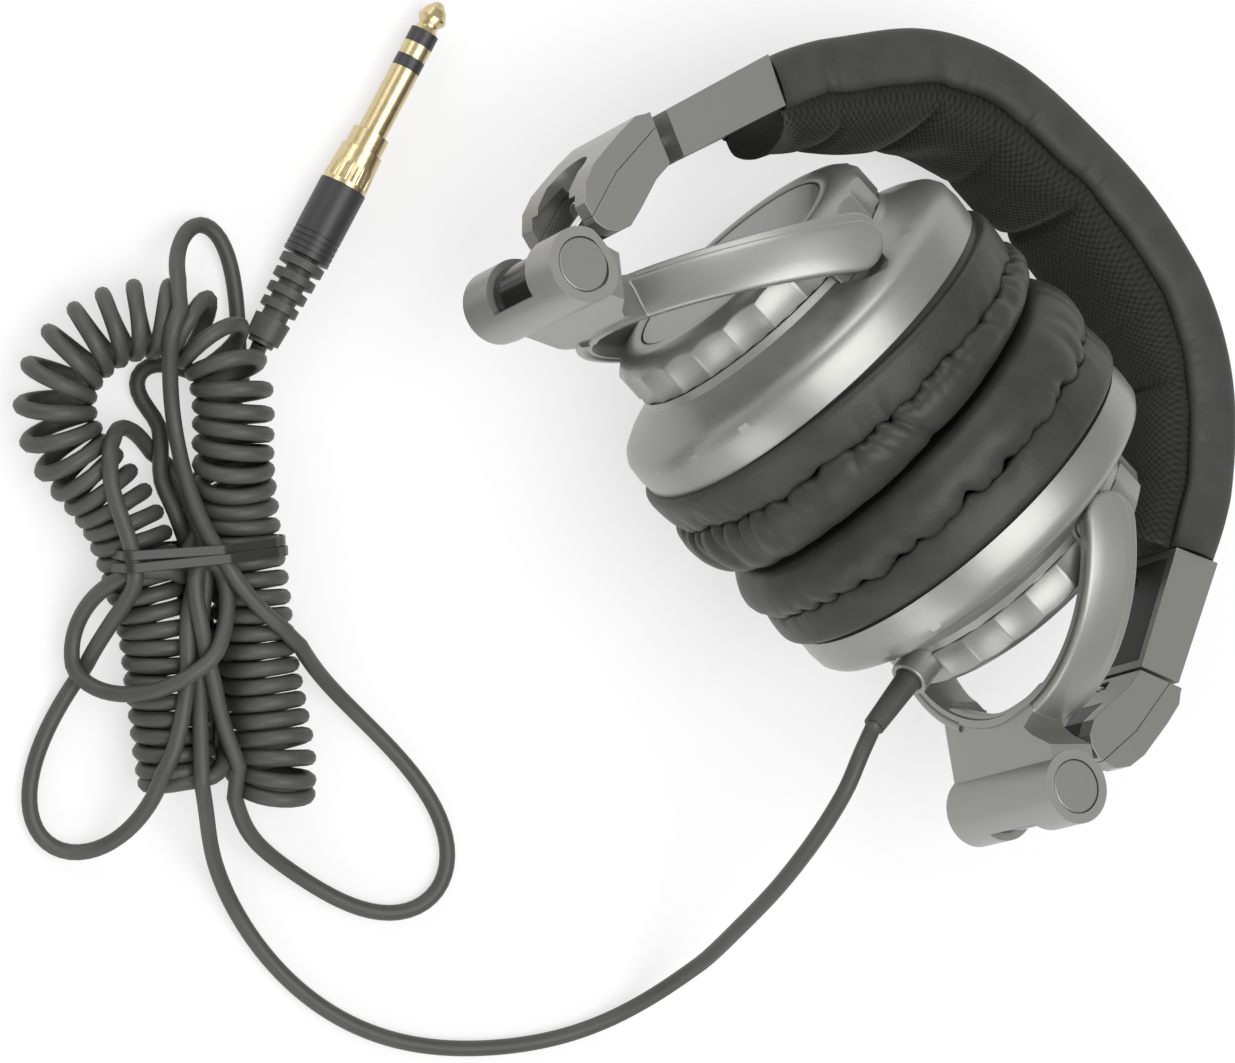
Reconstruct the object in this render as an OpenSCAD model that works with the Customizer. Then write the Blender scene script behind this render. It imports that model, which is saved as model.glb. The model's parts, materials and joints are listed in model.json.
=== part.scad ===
// Folding closed-back stereo headphones, folded flat and lying on a table.
// Millimetres. The side pieces are drawn for the wearer's left side and mirrored for the right.
// Headband frame: X from ear to ear, Z up towards the top of the headband, Y towards the back.
// The last step, lay_down(), turns that frame onto the table.

/* [Headband] */
// Distance between the two fold hinge axes with both sliders closed
hinge_span = 152; // [146:1:160]
// Thickness of the padded band from its outer leather to the seam of the inner pad
band_thick = 10.3; // [9:0.1:12]
// Half width of the band at the top of the head
band_half = 17; // [15:0.5:20]
// Radius of the band's outer side just above the end block
band_r_side = 81; // [76:1:90]
// Radius of the band's outer side at the shoulder
band_r_shoulder = 57; // [50:1:62]
// Direction angle where the side radius gives way to the shoulder
band_side_end = 42; // [38:1:46]
// Direction angle where the shoulder gives way to the crown
band_shoulder_end = 71.5; // [66:0.5:76]
// Height of the inner knitted pad below its seam
inner_pad_thick = 8; // [5:0.5:10]
// Thickness of the spring steel band
spring_thick = 1.0; // [0.6:0.1:1.4]
// Width of the spring steel band
spring_width = 18; // [12:1:20]

/* [Slider] */
// Lean of the slide from upright
slide_lean = 16.6; // [14:0.1:20]
// Width of the end block and of the knee, front to back
block_width = 26; // [24:0.5:30]
// Depth of the end block, outer face to inner face, at its lower end
block_thick = 10.2; // [9.4:0.1:12]
// Length of the end block along the slide
block_len = 30; // [28:0.5:36]
// Wall of the end block and of the knee shells
shell_wall = 2.0; // [1.6:0.1:2.4]
// Width of the slide strip
strip_width = 15; // [12:0.5:16]
// Thickness of the slide strip
strip_thick = 1.6; // [1.2:0.1:2]
// How far the right slider is drawn out
right_draw = 3.2; // [0:0.1:12]
// Travel of each slider
slide_travel = 22; // [16:1:24]

/* [Knee] */
// Height of the knee's top above the fold hinge axis
knee_rise = 38.4; // [36:0.2:44]
// Lean of the swivel axis from upright
swivel_lean = 4.8; // [3:0.1:6]
// Gap between the knee and the closed end block
knee_gap = 0.8; // [0.5:0.1:1.5]
// Radius of the swivel shaft's journal
shaft_r = 3.0; // [2.4:0.1:3.2]

/* [Yoke] */
// Distance from the fold hinge axis to the cup pivots
yoke_len = 53; // [51:0.5:60]
// Lean of the folded left yoke from upright
left_fold = 45; // [43:0.5:47]
// Lean of the folded right yoke from upright
right_fold = 43; // [41:0.5:45]
// Radius of the hinge barrel
barrel_r = 7.9; // [7.2:0.1:8.4]
// Length of the hinge barrel
barrel_len = 36; // [34:0.5:42]
// Width of the window that the knuckle shows through
window_len = 16; // [14:0.5:18]
// Radius of the fold pin
fold_pin_r = 2.0; // [1.5:0.1:2.4]
// Width of the yoke's arms, across the yoke
arm_width = 12; // [10:0.5:13]
// Thickness of the yoke's arms
arm_thick = 4.5; // [4:0.1:6]
// Radius of the cup pivot pins
pivot_r = 1.6; // [1.2:0.1:2]

/* [Ear cup] */
// Radius of the cup's rim
rim_r = 44.5; // [43:0.5:47]
// Distance from the cup pivots to the rim's edge, towards the ear
rim_reach = 17.3; // [16:0.1:20]
// Radius of the scalloped cap
cap_r = 32.5; // [31:0.5:34]
// Height of the cap's outer face above the cup pivots
cap_height = 8.6; // [8:0.1:10]
// Number of flutes round the cap
flute_count = 24; // [16:1:30]
// Wall of the cup
cup_wall = 2.0; // [1.6:0.1:2.6]
// Outer radius of the ear pad
pad_r = 42.5; // [40:0.5:44]
// Radius of the opening in the ear pad
pad_hole_r = 23; // [20:0.5:26]
// Radius of the driver
driver_r = 20; // [16:0.5:22]

/* [Cord] */
// Diameter of the cord
cord_d = 3.4; // [3:0.1:4]
// Outer diameter of the curly part of the cord
curl_d = 18; // [16:0.5:20]
// Radius of the large plug's shaft
plug_r = 3.175; // [3.175:0.001:3.176]

/* [Hidden] */

$fn = 64;

// Clearances
fit = 0.05;          // running fit of a shaft in its bore, on the radius
part_gap = 0.15;     // between two rigid pieces of one body
soft_gap = 0.3;      // between a soft piece and its neighbour
eps = 0.01;

// Places in the headband frame, as [x, z]
hinge_x = hinge_span / 2;
knee_top_x = hinge_x + knee_rise * tan(swivel_lean);
function hinge_at(draw) = [hinge_x + draw * sin(slide_lean), -draw * cos(slide_lean)];
function pivot_at(draw, fold) = hinge_at(draw) + yoke_len * [-sin(fold), cos(fold)];

// End block outline in its own frame: x out from its middle, z up the slide from its lower end
slope_low = 0.15;            // rise of the lower end across the block's depth
slope_top = 0.21;            // rise of the upper end across the block's depth
block_swell = 1.0;           // how much deeper the block is at its upper end
block_out = block_thick / 2;
block_in_low = -block_thick / 2;
block_in_top = block_in_low - block_swell;
function low_edge(x) = slope_low * x;
function top_edge(x) = block_len + slope_top * x;

// Slide strip
strip_x = -0.2;
strip_room = 0.12;
strip_up = 33;               // how far the strip reaches up the block
strip_foot = 4;              // how far it reaches down into the knee
plate_thick = 1.6;

// Outer line of the band, from the block's upper outer corner to the crown
band_start = [
  knee_top_x + block_out * cos(slide_lean) - top_edge(block_out) * sin(slide_lean),
  knee_rise + block_out * sin(slide_lean) + top_edge(block_out) * cos(slide_lean)
];
band_c1 = band_start - band_r_side * [cos(slide_lean), sin(slide_lean)];
band_c2 = band_c1 + (band_r_side - band_r_shoulder) * [cos(band_side_end), sin(band_side_end)];
band_r_crown = band_r_shoulder + band_c2.x / cos(band_shoulder_end);
band_c3 = band_c2
  - (band_r_crown - band_r_shoulder) * [cos(band_shoulder_end), sin(band_shoulder_end)];
band_apex = band_c3.y + band_r_crown;
band_step = 3;               // degrees between the band's stations
band_edge = 1.5;             // bevel of the band's outer edges
spring_depth = 3;            // from the outer leather to the middle of the spring band
spring_tail = 4;             // how far the spring band reaches into the block

// Knee, about the hinge axis
knee_out = 11.2;
knee_low = 12.2;
cheek = 4.2;                 // thickness of the knee's two cheeks
knee_room = block_width - 2 * cheek;
cavity_out = knee_out - shell_wall - 0.6;
bearing_low = 25;            // swivel bearing, along the swivel axis
bearing_high = 31.5;
collar_low = 20;
boss_high = 11;
neck_r = shaft_r - 0.8;
boss_r = neck_r + 1.0;

// Yoke
barrel_wall = 1.5;
knuckle_r = barrel_r - barrel_wall - 0.15;
neck_half_angle = 34;        // half angle of the window's clearance about the neck
facet_height = 11.8;         // top of the folded yoke under the knee, along the swivel axis
arm_inner_r = 34.2;
arm_outer_r = arm_inner_r + arm_thick;
base_half = barrel_len / 2 + 1.5;  // half width of the plate where it meets the arms
base_rise = yoke_len - sqrt(pow(arm_outer_r - 2.2, 2) - pow(base_half, 2));

// Ear cup
cap_low = 1.0;               // where the cap meets the cup, towards the ear from the pivots
disc_r = cap_r - 8;
lug_reach = arm_inner_r - 0.4;
lug_half = 6;
lug_deep = 4.5;
rim_wall = 1.6;
ledge = rim_reach - 3;       // seat of the baffle
baffle_thick = 1.9;
baffle_r = rim_r - rim_wall - 0.2;
ring_low = ledge + part_gap + baffle_thick + 0.1;
ring_thick = 2.0;            // flange that the ear pad clips on
pad_foot = ring_low + ring_thick + 0.1;
pad_reach = 39.5;            // face of the ear pad, from the cup pivots
gland_r = 4.2;
gland_from = 30;
gland_reach = 39;
relief_from = 36;
relief_reach = 53;

// Lying on the table: the far rims and the far edge of the crown all touch down
rim_max = rim_r + 0.3;
rest_side = band_half - 0.2;
rest_drop = band_apex - band_edge - pivot_at(0, left_fold).y;
rest_tilt = asin(rim_max / norm([rest_side, rest_drop])) - atan2(rest_side, rest_drop);
rest_lift = rim_max + sin(rest_tilt) * pivot_at(0, left_fold).y;
rest_x = 0.5;
rest_y = -51;

// Cord lying on the table, in the finished frame
cord_r = cord_d / 2;
cord_sides = 8;
// from the strain relief along the lead, then the loops above and below the tie, to the curly part
lead_route = [
  [41, -73.5, 66.5], [43.5, -80, 66], [47.5, -89, 61], [53.5, -100.5, 48], [59, -111, 32],
  [63.5, -120.5, 17], [65, -133.5, 6], [60, -149, 2], [47.5, -165.5, 2], [32, -179, 2],
  [13.5, -186, 2], [-5, -186.5, 3], [-20.5, -183, 8], [-36, -176.5, 19], [-48.5, -168, 19],
  [-59, -158, 20], [-69.5, -147, 23], [-78.5, -138.5, 27], [-89, -131, 25], [-101, -126, 14],
  [-110.5, -126.5, 4], [-111, -138, 14], [-101.5, -144, 21], [-86, -146.5, 21], [-80, -160.5, 8],
  [-75, -180.5, 2], [-66, -200, 2], [-54, -206.5, 2], [-44.5, -196.5, 2], [-47, -180.5, 19],
  [-53.5, -167, 20], [-66.5, -153.5, 21], [-79, -143.5, 24], [-84, -132, 20], [-89.5, -117.5, 8],
  [-100, -101, 2], [-114.5, -88, 2], [-126, -81.5, 2], [-131, -83, 2], [-128, -93, 3],
  [-117, -109.5, 20], [-101, -122.5, 23], [-88, -130, 30], [-76.5, -135.5, 34], [-55.5, -137.5, 26],
  [-27, -135.5, 4], [-3.5, -135.5, 2], [14, -142.5, 2], [16, -157.5, 2], [0, -167, 2],
  [-26.5, -169.5, 19], [-50.5, -160.5, 22], [-65, -151.5, 25], [-78.5, -142, 28], [-85, -141, 27],
  [-81, -136, 32], [-71.5, -140, 32], [-59, -144, 28], [-60, -156.5, 26], [-67.5, -170, 20],
  [-76.5, -176.5, 6], [-83, -168.5, 4], [-84, -152, 18], [-78, -141, 6], [-60, -149, 4],
  [-36, -169, 2], [-25, -169, 5]
];
curly_route = [
  [-28, -165, 9], [-38, -155, 9], [-48, -146, 11], [-57, -141, 15], [-66, -135, 19],
  [-76, -128.5, 21], [-86, -120.5, 18], [-94, -111.5, 13], [-102, -104.5, 9.5], [-111, -103, 9],
  [-119.5, -107, 9], [-125, -115, 9], [-127.5, -125, 9], [-125, -135, 9], [-117, -141, 9],
  [-107, -142, 9], [-96, -142, 9], [-86, -143.5, 9], [-76, -150, 9], [-66, -158, 9],
  [-56, -166, 9], [-45, -174, 9]
];
tail_route = [
  [-45, -174, 9], [-40, -170, 4], [-52, -158, 4], [-66, -149, 6], [-82.5, -139, 24],
  [-94.5, -131, 21], [-104, -120, 12], [-109.5, -120, 4], [-114.5, -121, 3], [-113, -115.5, 3],
  [-106, -110.5, 2], [-97, -105.5, 2.5], [-99, -99, 4.5]
];
curl_r = curl_d / 2 - 0.2;
// Twist tie round both curly columns and the strands on them
tie_at = [-80, -146];
tie_turn = 50.3;
tie_span = [16.3, 20.5];
tie_width = 6;
tie_thick = 1.1;

// Plug, from the cord end to the tip
plug_tail = [-100, -96, 5.3];
plug_turn = 17.8;
plug_relief_len = 21;
plug_body_r = 5.25;
plug_body_end = 38.3;
knurl_end = 47;
collar_end = 51.2;
sleeve_end = 66.9;
ring_from = 69.7;
ring_to = 72.8;
shaft_end = 76.1;
jack_end = 83.2;

function on_table(p) = [
  p.x + rest_x,
  -sin(rest_tilt) * p.y + cos(rest_tilt) * p.z + rest_y,
  -cos(rest_tilt) * p.y - sin(rest_tilt) * p.z + rest_lift
];
relief_tip = [pivot_at(0, left_fold).x, 0, pivot_at(0, left_fold).y - relief_reach];
full_lead = concat([on_table(relief_tip), on_table(relief_tip - [0, 0, 4])], lead_route);
full_tail = concat(tail_route, [plug_tail]);

module lay_down() translate([rest_x, rest_y, rest_lift]) rotate([-90 - rest_tilt, 0, 0]) children();
module left() lay_down() children();
module right() lay_down() mirror([1, 0, 0]) children();
module at_block() translate([knee_top_x, 0, knee_rise]) rotate([0, -slide_lean, 0]) children();
module at_hinge(draw) translate([hinge_at(draw).x, 0, hinge_at(draw).y]) children();
module at_swivel(draw) at_hinge(draw) rotate([0, swivel_lean, 0]) children();
module at_yoke(draw, fold) at_hinge(draw) rotate([0, -fold, 0]) children();
// In the cup's frame x is up, y is back and z points to the ear.
module at_cup(draw, fold) translate([pivot_at(draw, fold).x, 0, pivot_at(draw, fold).y])
  rotate([0, -90, 0]) children();
// A flat outline in x and z, given a width along y
module slab(width) rotate([90, 0, 0]) linear_extrude(width, center = true) children();
module along_y(r, len) rotate([90, 0, 0]) cylinder(r = r, h = len, center = true);

// ---- headband ----

// Stations along an arc: [x, z, angle of the outward normal], without the last one
function band_bow(centre, r, from, to) = let (steps = round((to - from) / band_step)) [
  for (k = [0:steps - 1]) let (a = from + (to - from) * k / steps)
    [centre.x + r * cos(a), centre.y + r * sin(a), a]
];
// Outer line of the band's right half, from inside the block to the crown
function band_side() = let (tail = spring_tail + 2) concat(
  [[band_start.x + tail * sin(slide_lean), band_start.y - tail * cos(slide_lean), slide_lean]],
  band_bow(band_c1, band_r_side, slide_lean, band_side_end),
  band_bow(band_c2, band_r_shoulder, band_side_end, band_shoulder_end),
  band_bow(band_c3, band_r_crown, band_shoulder_end, 90)
);
function band_line() = let (side = band_side()) concat(
  side, [[0, band_apex, 90]],
  [for (k = [len(side) - 1:-1:0]) [-side[k].x, side[k].y, 180 - side[k].z]]
);
// The band narrows from the crown to the blocks.
function band_taper(x) = let (
    end = (block_width / 2 + 0.5) / band_half,
    share = (abs(x) - hinge_x * 0.4) / (hinge_x * 0.46)
  ) 1 - (1 - end) * min(max(share, 0), 1);

// Sweeps a section along the band: x is measured out from the outer leather, y across.
module band_sweep(section, narrows) stack_rings([
  for (s = band_line()) let (wide = narrows ? band_taper(s.x) : 1)
    [for (p = section) [s.x + p.x * cos(s.z), p.y * wide, s.y + p.x * sin(s.z)]]
]);

// A solid through rings of points that each run clockwise about the way ahead
module stack_rings(rings) {
  last = len(rings) - 1;
  n = len(rings[0]);
  walls = [for (i = [0:last - 1], k = [0:n - 1]) each let (
      a = i * n + k, b = i * n + (k + 1) % n
    ) [[a, b, b + n], [a, b + n, a + n]]];
  polyhedron([for (ring = rings) each ring], concat(
    [[for (k = [n - 1:-1:0]) k]], walls, [[for (k = [0:n - 1]) last * n + k]]
  ));
}

// Everything below the block's upper end, and a gap
module below_block_top(gap) {
  reach = 40;
  for (side = [0, 1]) mirror([side, 0, 0]) at_block() slab(60)
    polygon([
      [-reach, top_edge(-reach) + gap], [reach, top_edge(reach) + gap],
      [reach, -reach], [-reach, -reach]
    ]);
}

// Room in the band for the upper end of each slide strip
module strip_room_in_band() {
  for (side = [0, 1]) mirror([side, 0, 0]) at_block()
    translate([strip_x, 0, block_len])
      cube([strip_thick + 1.4, strip_width + 1.6, 2 * (strip_up - block_len) + 3], center = true);
}

function spring_section(room) = let (
    t = spring_thick / 2 + room, w = spring_width / 2 + room, x = -spring_depth
  ) [[x + t, -w], [x - t, -w], [x - t, w], [x + t, w]];

module headband_cover() lay_down() color([0.16, 0.16, 0.16]) difference() {
  half = band_half - 0.2;
  band_sweep([
    [0, -half + band_edge], [-band_edge, -half], [-band_thick, -half],
    [-band_thick, half], [-band_edge, half], [0, half - band_edge]
  ], true);
  below_block_top(soft_gap);
  strip_room_in_band();
  band_sweep(spring_section(0.1), false);
}

module headband_pad() lay_down() color([0.1, 0.1, 0.1]) difference() {
  band_sweep([for (k = [0:8]) [
    -band_thick - soft_gap - inner_pad_thick * sin(k * 22.5), -(band_half - 1) * cos(k * 22.5)
  ]], true);
  below_block_top(soft_gap);
}

module spring_band() lay_down() color([0.6, 0.6, 0.62]) difference() {
  band_sweep(spring_section(0), false);
  below_block_top(-spring_tail);
}

// ---- end blocks and slides ----

module block_outline(in_low, in_top, out, low, top)
  polygon([
    [out, low_edge(out) + low], [out, top_edge(out) - top],
    [in_top, top_edge(in_top) - top], [in_low, low_edge(in_low) + low]
  ]);

module strip_way() translate([strip_x, 0, block_len / 2])
  cube([strip_thick + 2 * strip_room, strip_width + 2 * strip_room, 2 * block_len], center = true);

module end_block() color([0.62, 0.62, 0.6]) at_block() difference() {
  slab(block_width) block_outline(block_in_low, block_in_top, block_out, 0, 0);
  // hollow, open towards the head
  slab(block_width - 2 * shell_wall)
    block_outline(block_in_low - 1, block_in_top - 1, block_out - shell_wall, shell_wall, shell_wall);
  strip_way();
  // pocket for the end of the spring band
  translate([block_out - spring_depth, 0, block_len])
    cube([spring_thick + 0.3, spring_width + 0.3, 2 * spring_tail + 2], center = true);
  // shallow ribs across the outer face
  for (k = [0:4]) translate([block_out, 0, 6 + 1.6 * k]) along_y(0.35, block_width - 8);
}

plate_screws_z = [6, block_len - 8];

module block_plate() color([0.2, 0.2, 0.2]) at_block() difference() {
  slab(block_width - 2 * shell_wall - 2 * part_gap)
    block_outline(block_in_low, block_in_top, block_in_low + plate_thick, shell_wall + part_gap,
                  shell_wall + part_gap);
  for (z = plate_screws_z) translate([block_in_low, 0, z]) rotate([0, 90, 0]) {
    cylinder(r = 1.2, h = 20, center = true, $fn = 32);
    translate([0, 0, -1.5]) cylinder(r = 2.1, h = 2.3, $fn = 32);
  }
}

module plate_screw_set() at_block()
  for (z = plate_screws_z) translate([block_in_low, 0, z]) rotate([0, 90, 0]) difference() {
    union() {
      translate([0, 0, -0.3]) cylinder(r = 1.9, h = 1.1, $fn = 32);
      cylinder(r = 1.1, h = plate_thick, $fn = 32);
    }
    for (a = [0, 90]) rotate([0, 0, a]) cube([2.4, 0.5, 1.0], center = true);
  }

module plate_screws() color([0.3, 0.3, 0.3]) {
  left() plate_screw_set();
  right() plate_screw_set();
}

module slide_guide() color([0.12, 0.12, 0.12]) at_block() difference() {
  slab(block_width - 2 * shell_wall - 2 * part_gap)
    block_outline(block_in_low + plate_thick + part_gap, block_in_low + plate_thick + part_gap,
                  block_out - shell_wall - part_gap, shell_wall + part_gap, 10);
  strip_way();
}

module slide_strip(draw) color([0.7, 0.7, 0.7]) at_block() translate([0, 0, -draw]) difference() {
  translate([strip_x, 0, (strip_up - strip_foot) / 2])
    cube([strip_thick, strip_width, strip_up + strip_foot], center = true);
  // click notches along both edges
  for (z = [4:2:strip_up - 6], side = [-1, 1])
    translate([strip_x, side * (strip_width / 2 + 0.4), z]) rotate([0, 90, 0])
      cylinder(r = 0.9, h = strip_thick + 1, center = true, $fn = 24);
}

// ---- knee ----

module knee_outline() polygon([
  [7.8, knee_rise + 6], [9.6, knee_rise + 0.9], [10.9, knee_rise - 1.4], [knee_out, knee_rise - 7],
  [11.0, 21.5], [9.8, 16.8], [7.0, 13.4], [2.6, knee_low], [0, 12.9], [-2.1, 14.6],
  [-3.4, 18], [-2.8, 22], [-1.5, knee_rise - 10], [-1.1, knee_rise - 8], [-1.2, knee_rise + 6]
]);
// Side of the parting line that the outer shell is on
module knee_outer_zone(gap) polygon([
  [6.2 + gap, knee_rise + 9], [6.2 + gap, 24], [3.2 + gap, knee_low - 3],
  [knee_out + 5, knee_low - 3], [knee_out + 5, knee_rise + 9]
]);

module knee_space() {
  // below the bearing: open downwards and towards the head
  intersection() {
    slab(knee_room) polygon([[-8, 6], [cavity_out, 6], [cavity_out, 30], [-8, 30]]);
    rotate([0, swivel_lean, 0]) translate([-20, -20, 0]) cube([40, 40, bearing_low]);
  }
  // above the bearing: the head of the swivel shaft
  rotate([0, swivel_lean, 0]) translate([0, 0, bearing_high]) cylinder(r = shaft_r + 2, h = 2.6);
  rotate([0, swivel_lean, 0]) cylinder(r = shaft_r + fit, h = bearing_high + 1);
  // notch in the outer wall, round at its top
  translate([knee_out, 0, 14]) cube([8, 13, 16], center = true);
  translate([knee_out, 0, 22]) rotate([0, 90, 0]) cylinder(r = 6.5, h = 8, center = true);
}

// What must stay free of the knee: the block with its gap, and the strip
module knee_top_cut(draw) translate([-hinge_at(draw).x, 0, -hinge_at(draw).y]) at_block()
  translate([0, 0, -draw]) {
    slab(block_width + 4)
      polygon([[-20, low_edge(-20) - knee_gap], [20, low_edge(20) - knee_gap], [20, 30], [-20, 30]]);
    translate([strip_x, 0, -strip_foot / 2])
      cube([strip_thick + 0.1, strip_width + 0.1, strip_foot + 0.2], center = true);
  }

module knee_outer(draw) color([0.62, 0.62, 0.6]) at_hinge(draw) difference() {
  intersection() {
    slab(block_width) knee_outline();
    slab(block_width + 2) knee_outer_zone(0.05);
  }
  knee_space();
  knee_top_cut(draw);
}

module knee_inner(draw) color([0.62, 0.62, 0.6]) at_hinge(draw) difference() {
  slab(block_width) knee_outline();
  slab(block_width + 2) knee_outer_zone(-0.05);
  knee_space();
  knee_top_cut(draw);
}

// Dark cover between the cheeks on the side towards the head
module knee_cover(draw) color([0.2, 0.2, 0.2]) at_hinge(draw) difference() {
  intersection() {
    slab(knee_room - 2 * part_gap) difference() {
      knee_outline();
      translate([1.4, 0]) knee_outline();
    }
    rotate([0, swivel_lean, 0]) translate([-20, -20, 15]) cube([40, 40, bearing_low - 15 - part_gap]);
  }
  // round window beside the shaft's collar
  rotate([0, swivel_lean, 0]) cylinder(r = shaft_r + 1.4 + soft_gap, h = 2 * bearing_low);
}

// ---- swivel ----

module swivel_shaft(draw) color([0.75, 0.75, 0.75]) at_swivel(draw) {
  translate([0, 0, boss_high - 3.9]) cylinder(r = neck_r, h = collar_low - boss_high + 4);
  translate([0, 0, collar_low]) cylinder(r = shaft_r + 1.4, h = bearing_low - collar_low - part_gap);
  translate([0, 0, bearing_low - 1]) cylinder(r = shaft_r, h = bearing_high - bearing_low + 1.6);
  translate([0, 0, bearing_high + part_gap]) cylinder(r = shaft_r + 1.2, h = 1.2);
}

module knuckle(draw) color([0.05, 0.05, 0.05]) difference() {
  union() {
    at_hinge(draw) along_y(knuckle_r, window_len - 2 * part_gap);
    at_swivel(draw) cylinder(r = boss_r, h = boss_high);
  }
  at_hinge(draw) along_y(fold_pin_r + fit, window_len + 2);
  at_swivel(draw) translate([0, 0, boss_high - 4]) cylinder(r = neck_r + fit, h = 8);
}

// ---- yoke ----

// Half ring that holds the cap, with round ends at the pivots
module yoke_arms() {
  half = arm_width / 2;
  translate([0, 0, yoke_len]) rotate([0, 90, 0]) difference() {
    rotate_extrude($fn = 120) polygon([
      [arm_inner_r, -half * 0.5], [arm_inner_r, half * 0.5], [arm_inner_r + 1.5, half * 0.8],
      [arm_outer_r - 1.5, half * 0.8], [arm_outer_r - 0.7, half * 0.6], [arm_outer_r - 0.2, half * 0.3],
      [arm_outer_r, 0], [arm_outer_r - 0.15, -half * 0.3], [arm_outer_r - 0.55, -half * 0.6],
      [arm_outer_r - 1.4, -half], [arm_inner_r + 1.5, -half]
    ]);
    translate([-60, 0, 0]) cube([120, 120, 60], center = true);
  }
  for (side = [-1, 1]) translate([0, side * (arm_inner_r + arm_thick / 2 - 0.2), yoke_len])
    along_y(half - 0.1, arm_thick - 0.4);
}

// Flat plate between the barrel and the crotch, with slanted sides that run out on the arms
module yoke_base() {
  half = barrel_len / 2;
  intersection() {
    rotate([0, 90, 0]) linear_extrude(arm_width - 1.2, center = true)
      polygon([
        [0, 0.4 - half], [0, half - 0.4], [2 - barrel_r, half - 0.4], [-base_rise, base_half],
        [-base_rise, -base_half], [2 - barrel_r, 0.4 - half]
      ]);
    translate([0, 0, yoke_len]) rotate([0, 90, 0]) difference() {
      cylinder(r = yoke_len + 1, h = 2 * arm_width, center = true, $fn = 120);
      cylinder(r = arm_inner_r + 0.5, h = 2 * arm_width + 2, center = true, $fn = 120);
    }
  }
}

// Wedge from the folded neck direction round to the straight one, as seen along the hinge axis
module window_sector(fold) {
  a0 = fold + swivel_lean - neck_half_angle;
  a1 = 180 + neck_half_angle;
  slab(window_len) polygon(concat(
    [[0, 0]],
    [for (k = [0:6]) let (a = 90 - (a0 + (a1 - a0) * k / 6)) 12 * [cos(a), sin(a)]]
  ));
}

module yoke(draw, fold) color([0.6, 0.6, 0.58]) at_yoke(draw, fold) difference() {
  union() {
    yoke_arms();
    yoke_base();
    along_y(barrel_r, barrel_len);
  }
  along_y(knuckle_r + 0.15, window_len);
  window_sector(fold);
  // bore for the fold pin, and seats for the end caps
  along_y(fold_pin_r + fit, barrel_len + 2);
  for (side = [-1, 1]) translate([0, side * (barrel_len / 2), 0]) along_y(5.8, 2.4);
  // facet that clears the knee as the folded yoke swivels
  rotate([0, fold + swivel_lean, 0]) translate([0, 0, facet_height + 10]) cube([60, 36, 20], center = true);
  // flat seats beside the cup's lugs, and blind holes for the pivot pins
  translate([0, 0, yoke_len]) along_y(9.2, 2 * (lug_reach + 0.2));
  for (side = [-1, 1]) translate([0, side * (lug_reach + 1.8), yoke_len]) along_y(pivot_r + fit, 3.6);
}

module barrel_caps(draw, fold) color([0.62, 0.62, 0.6]) at_yoke(draw, fold)
  for (side = [-1, 1]) translate([0, side * (barrel_len / 2 - 0.6), 0]) along_y(5.6, 1.0);

module fold_pin(draw, fold) color([0.7, 0.7, 0.7]) at_yoke(draw, fold)
  along_y(fold_pin_r, barrel_len - 2.6);

module pivot_pins(draw, fold) color([0.7, 0.7, 0.7]) at_yoke(draw, fold)
  for (side = [-1, 1]) translate([0, side * (lug_reach + 0.6), yoke_len]) along_y(pivot_r, 5);

// ---- ear cup ----

module gland_bore() translate([-gland_from + 0.1, 0, 0]) rotate([0, -90, 0])
  cylinder(r = gland_r + fit, h = 30);

module cap(gland) color([0.64, 0.64, 0.62]) difference() {
  union() {
    difference() {
      rotate_extrude($fn = 120) polygon([
        [disc_r + 0.3, -cap_height + 1.6], [disc_r + 0.3, -cap_height], [cap_r - 4, -cap_height],
        [cap_r - 1.2, -cap_height + 3], [cap_r, -cap_height + 4.4], [cap_r, cap_low],
        [cap_r - 3, cap_low], [cap_r - 3, -cap_height + 3.6], [0, -cap_height + 3.6],
        [0, -cap_height + 1.6]
      ]);
      for (k = [0:flute_count - 1]) rotate([0, 0, (k + 0.5) * 360 / flute_count])
        translate([cap_r + 4.6, 0, 0]) cylinder(r = 5.4, h = 30, center = true, $fn = 48);
    }
    for (side = [-1, 1]) translate([-lug_half, side * (lug_reach - 3) - 3, -5.5])
      cube([2 * lug_half, 6, 5.5 + lug_deep]);
  }
  for (side = [-1, 1]) translate([0, side * lug_reach, 0]) along_y(pivot_r + fit, 5.4);
  if (gland) gland_bore();
}

module cap_disc() color([0.6, 0.6, 0.58]) translate([0, 0, -cap_height + 0.15])
  cylinder(r = disc_r, h = 1.45, $fn = 120);

// Outer line of the bowl that flares from under the cap to the rim
bowl_line = [
  [cap_r + 0.5, cap_low + 0.1], [33.4, 2.8], [35.4, 4.3], [38.3, 5.8], [41.6, 7.0], [43.6, 8.2],
  [rim_r, 9.6], [rim_max, 13], [rim_r, rim_reach]
];

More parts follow.
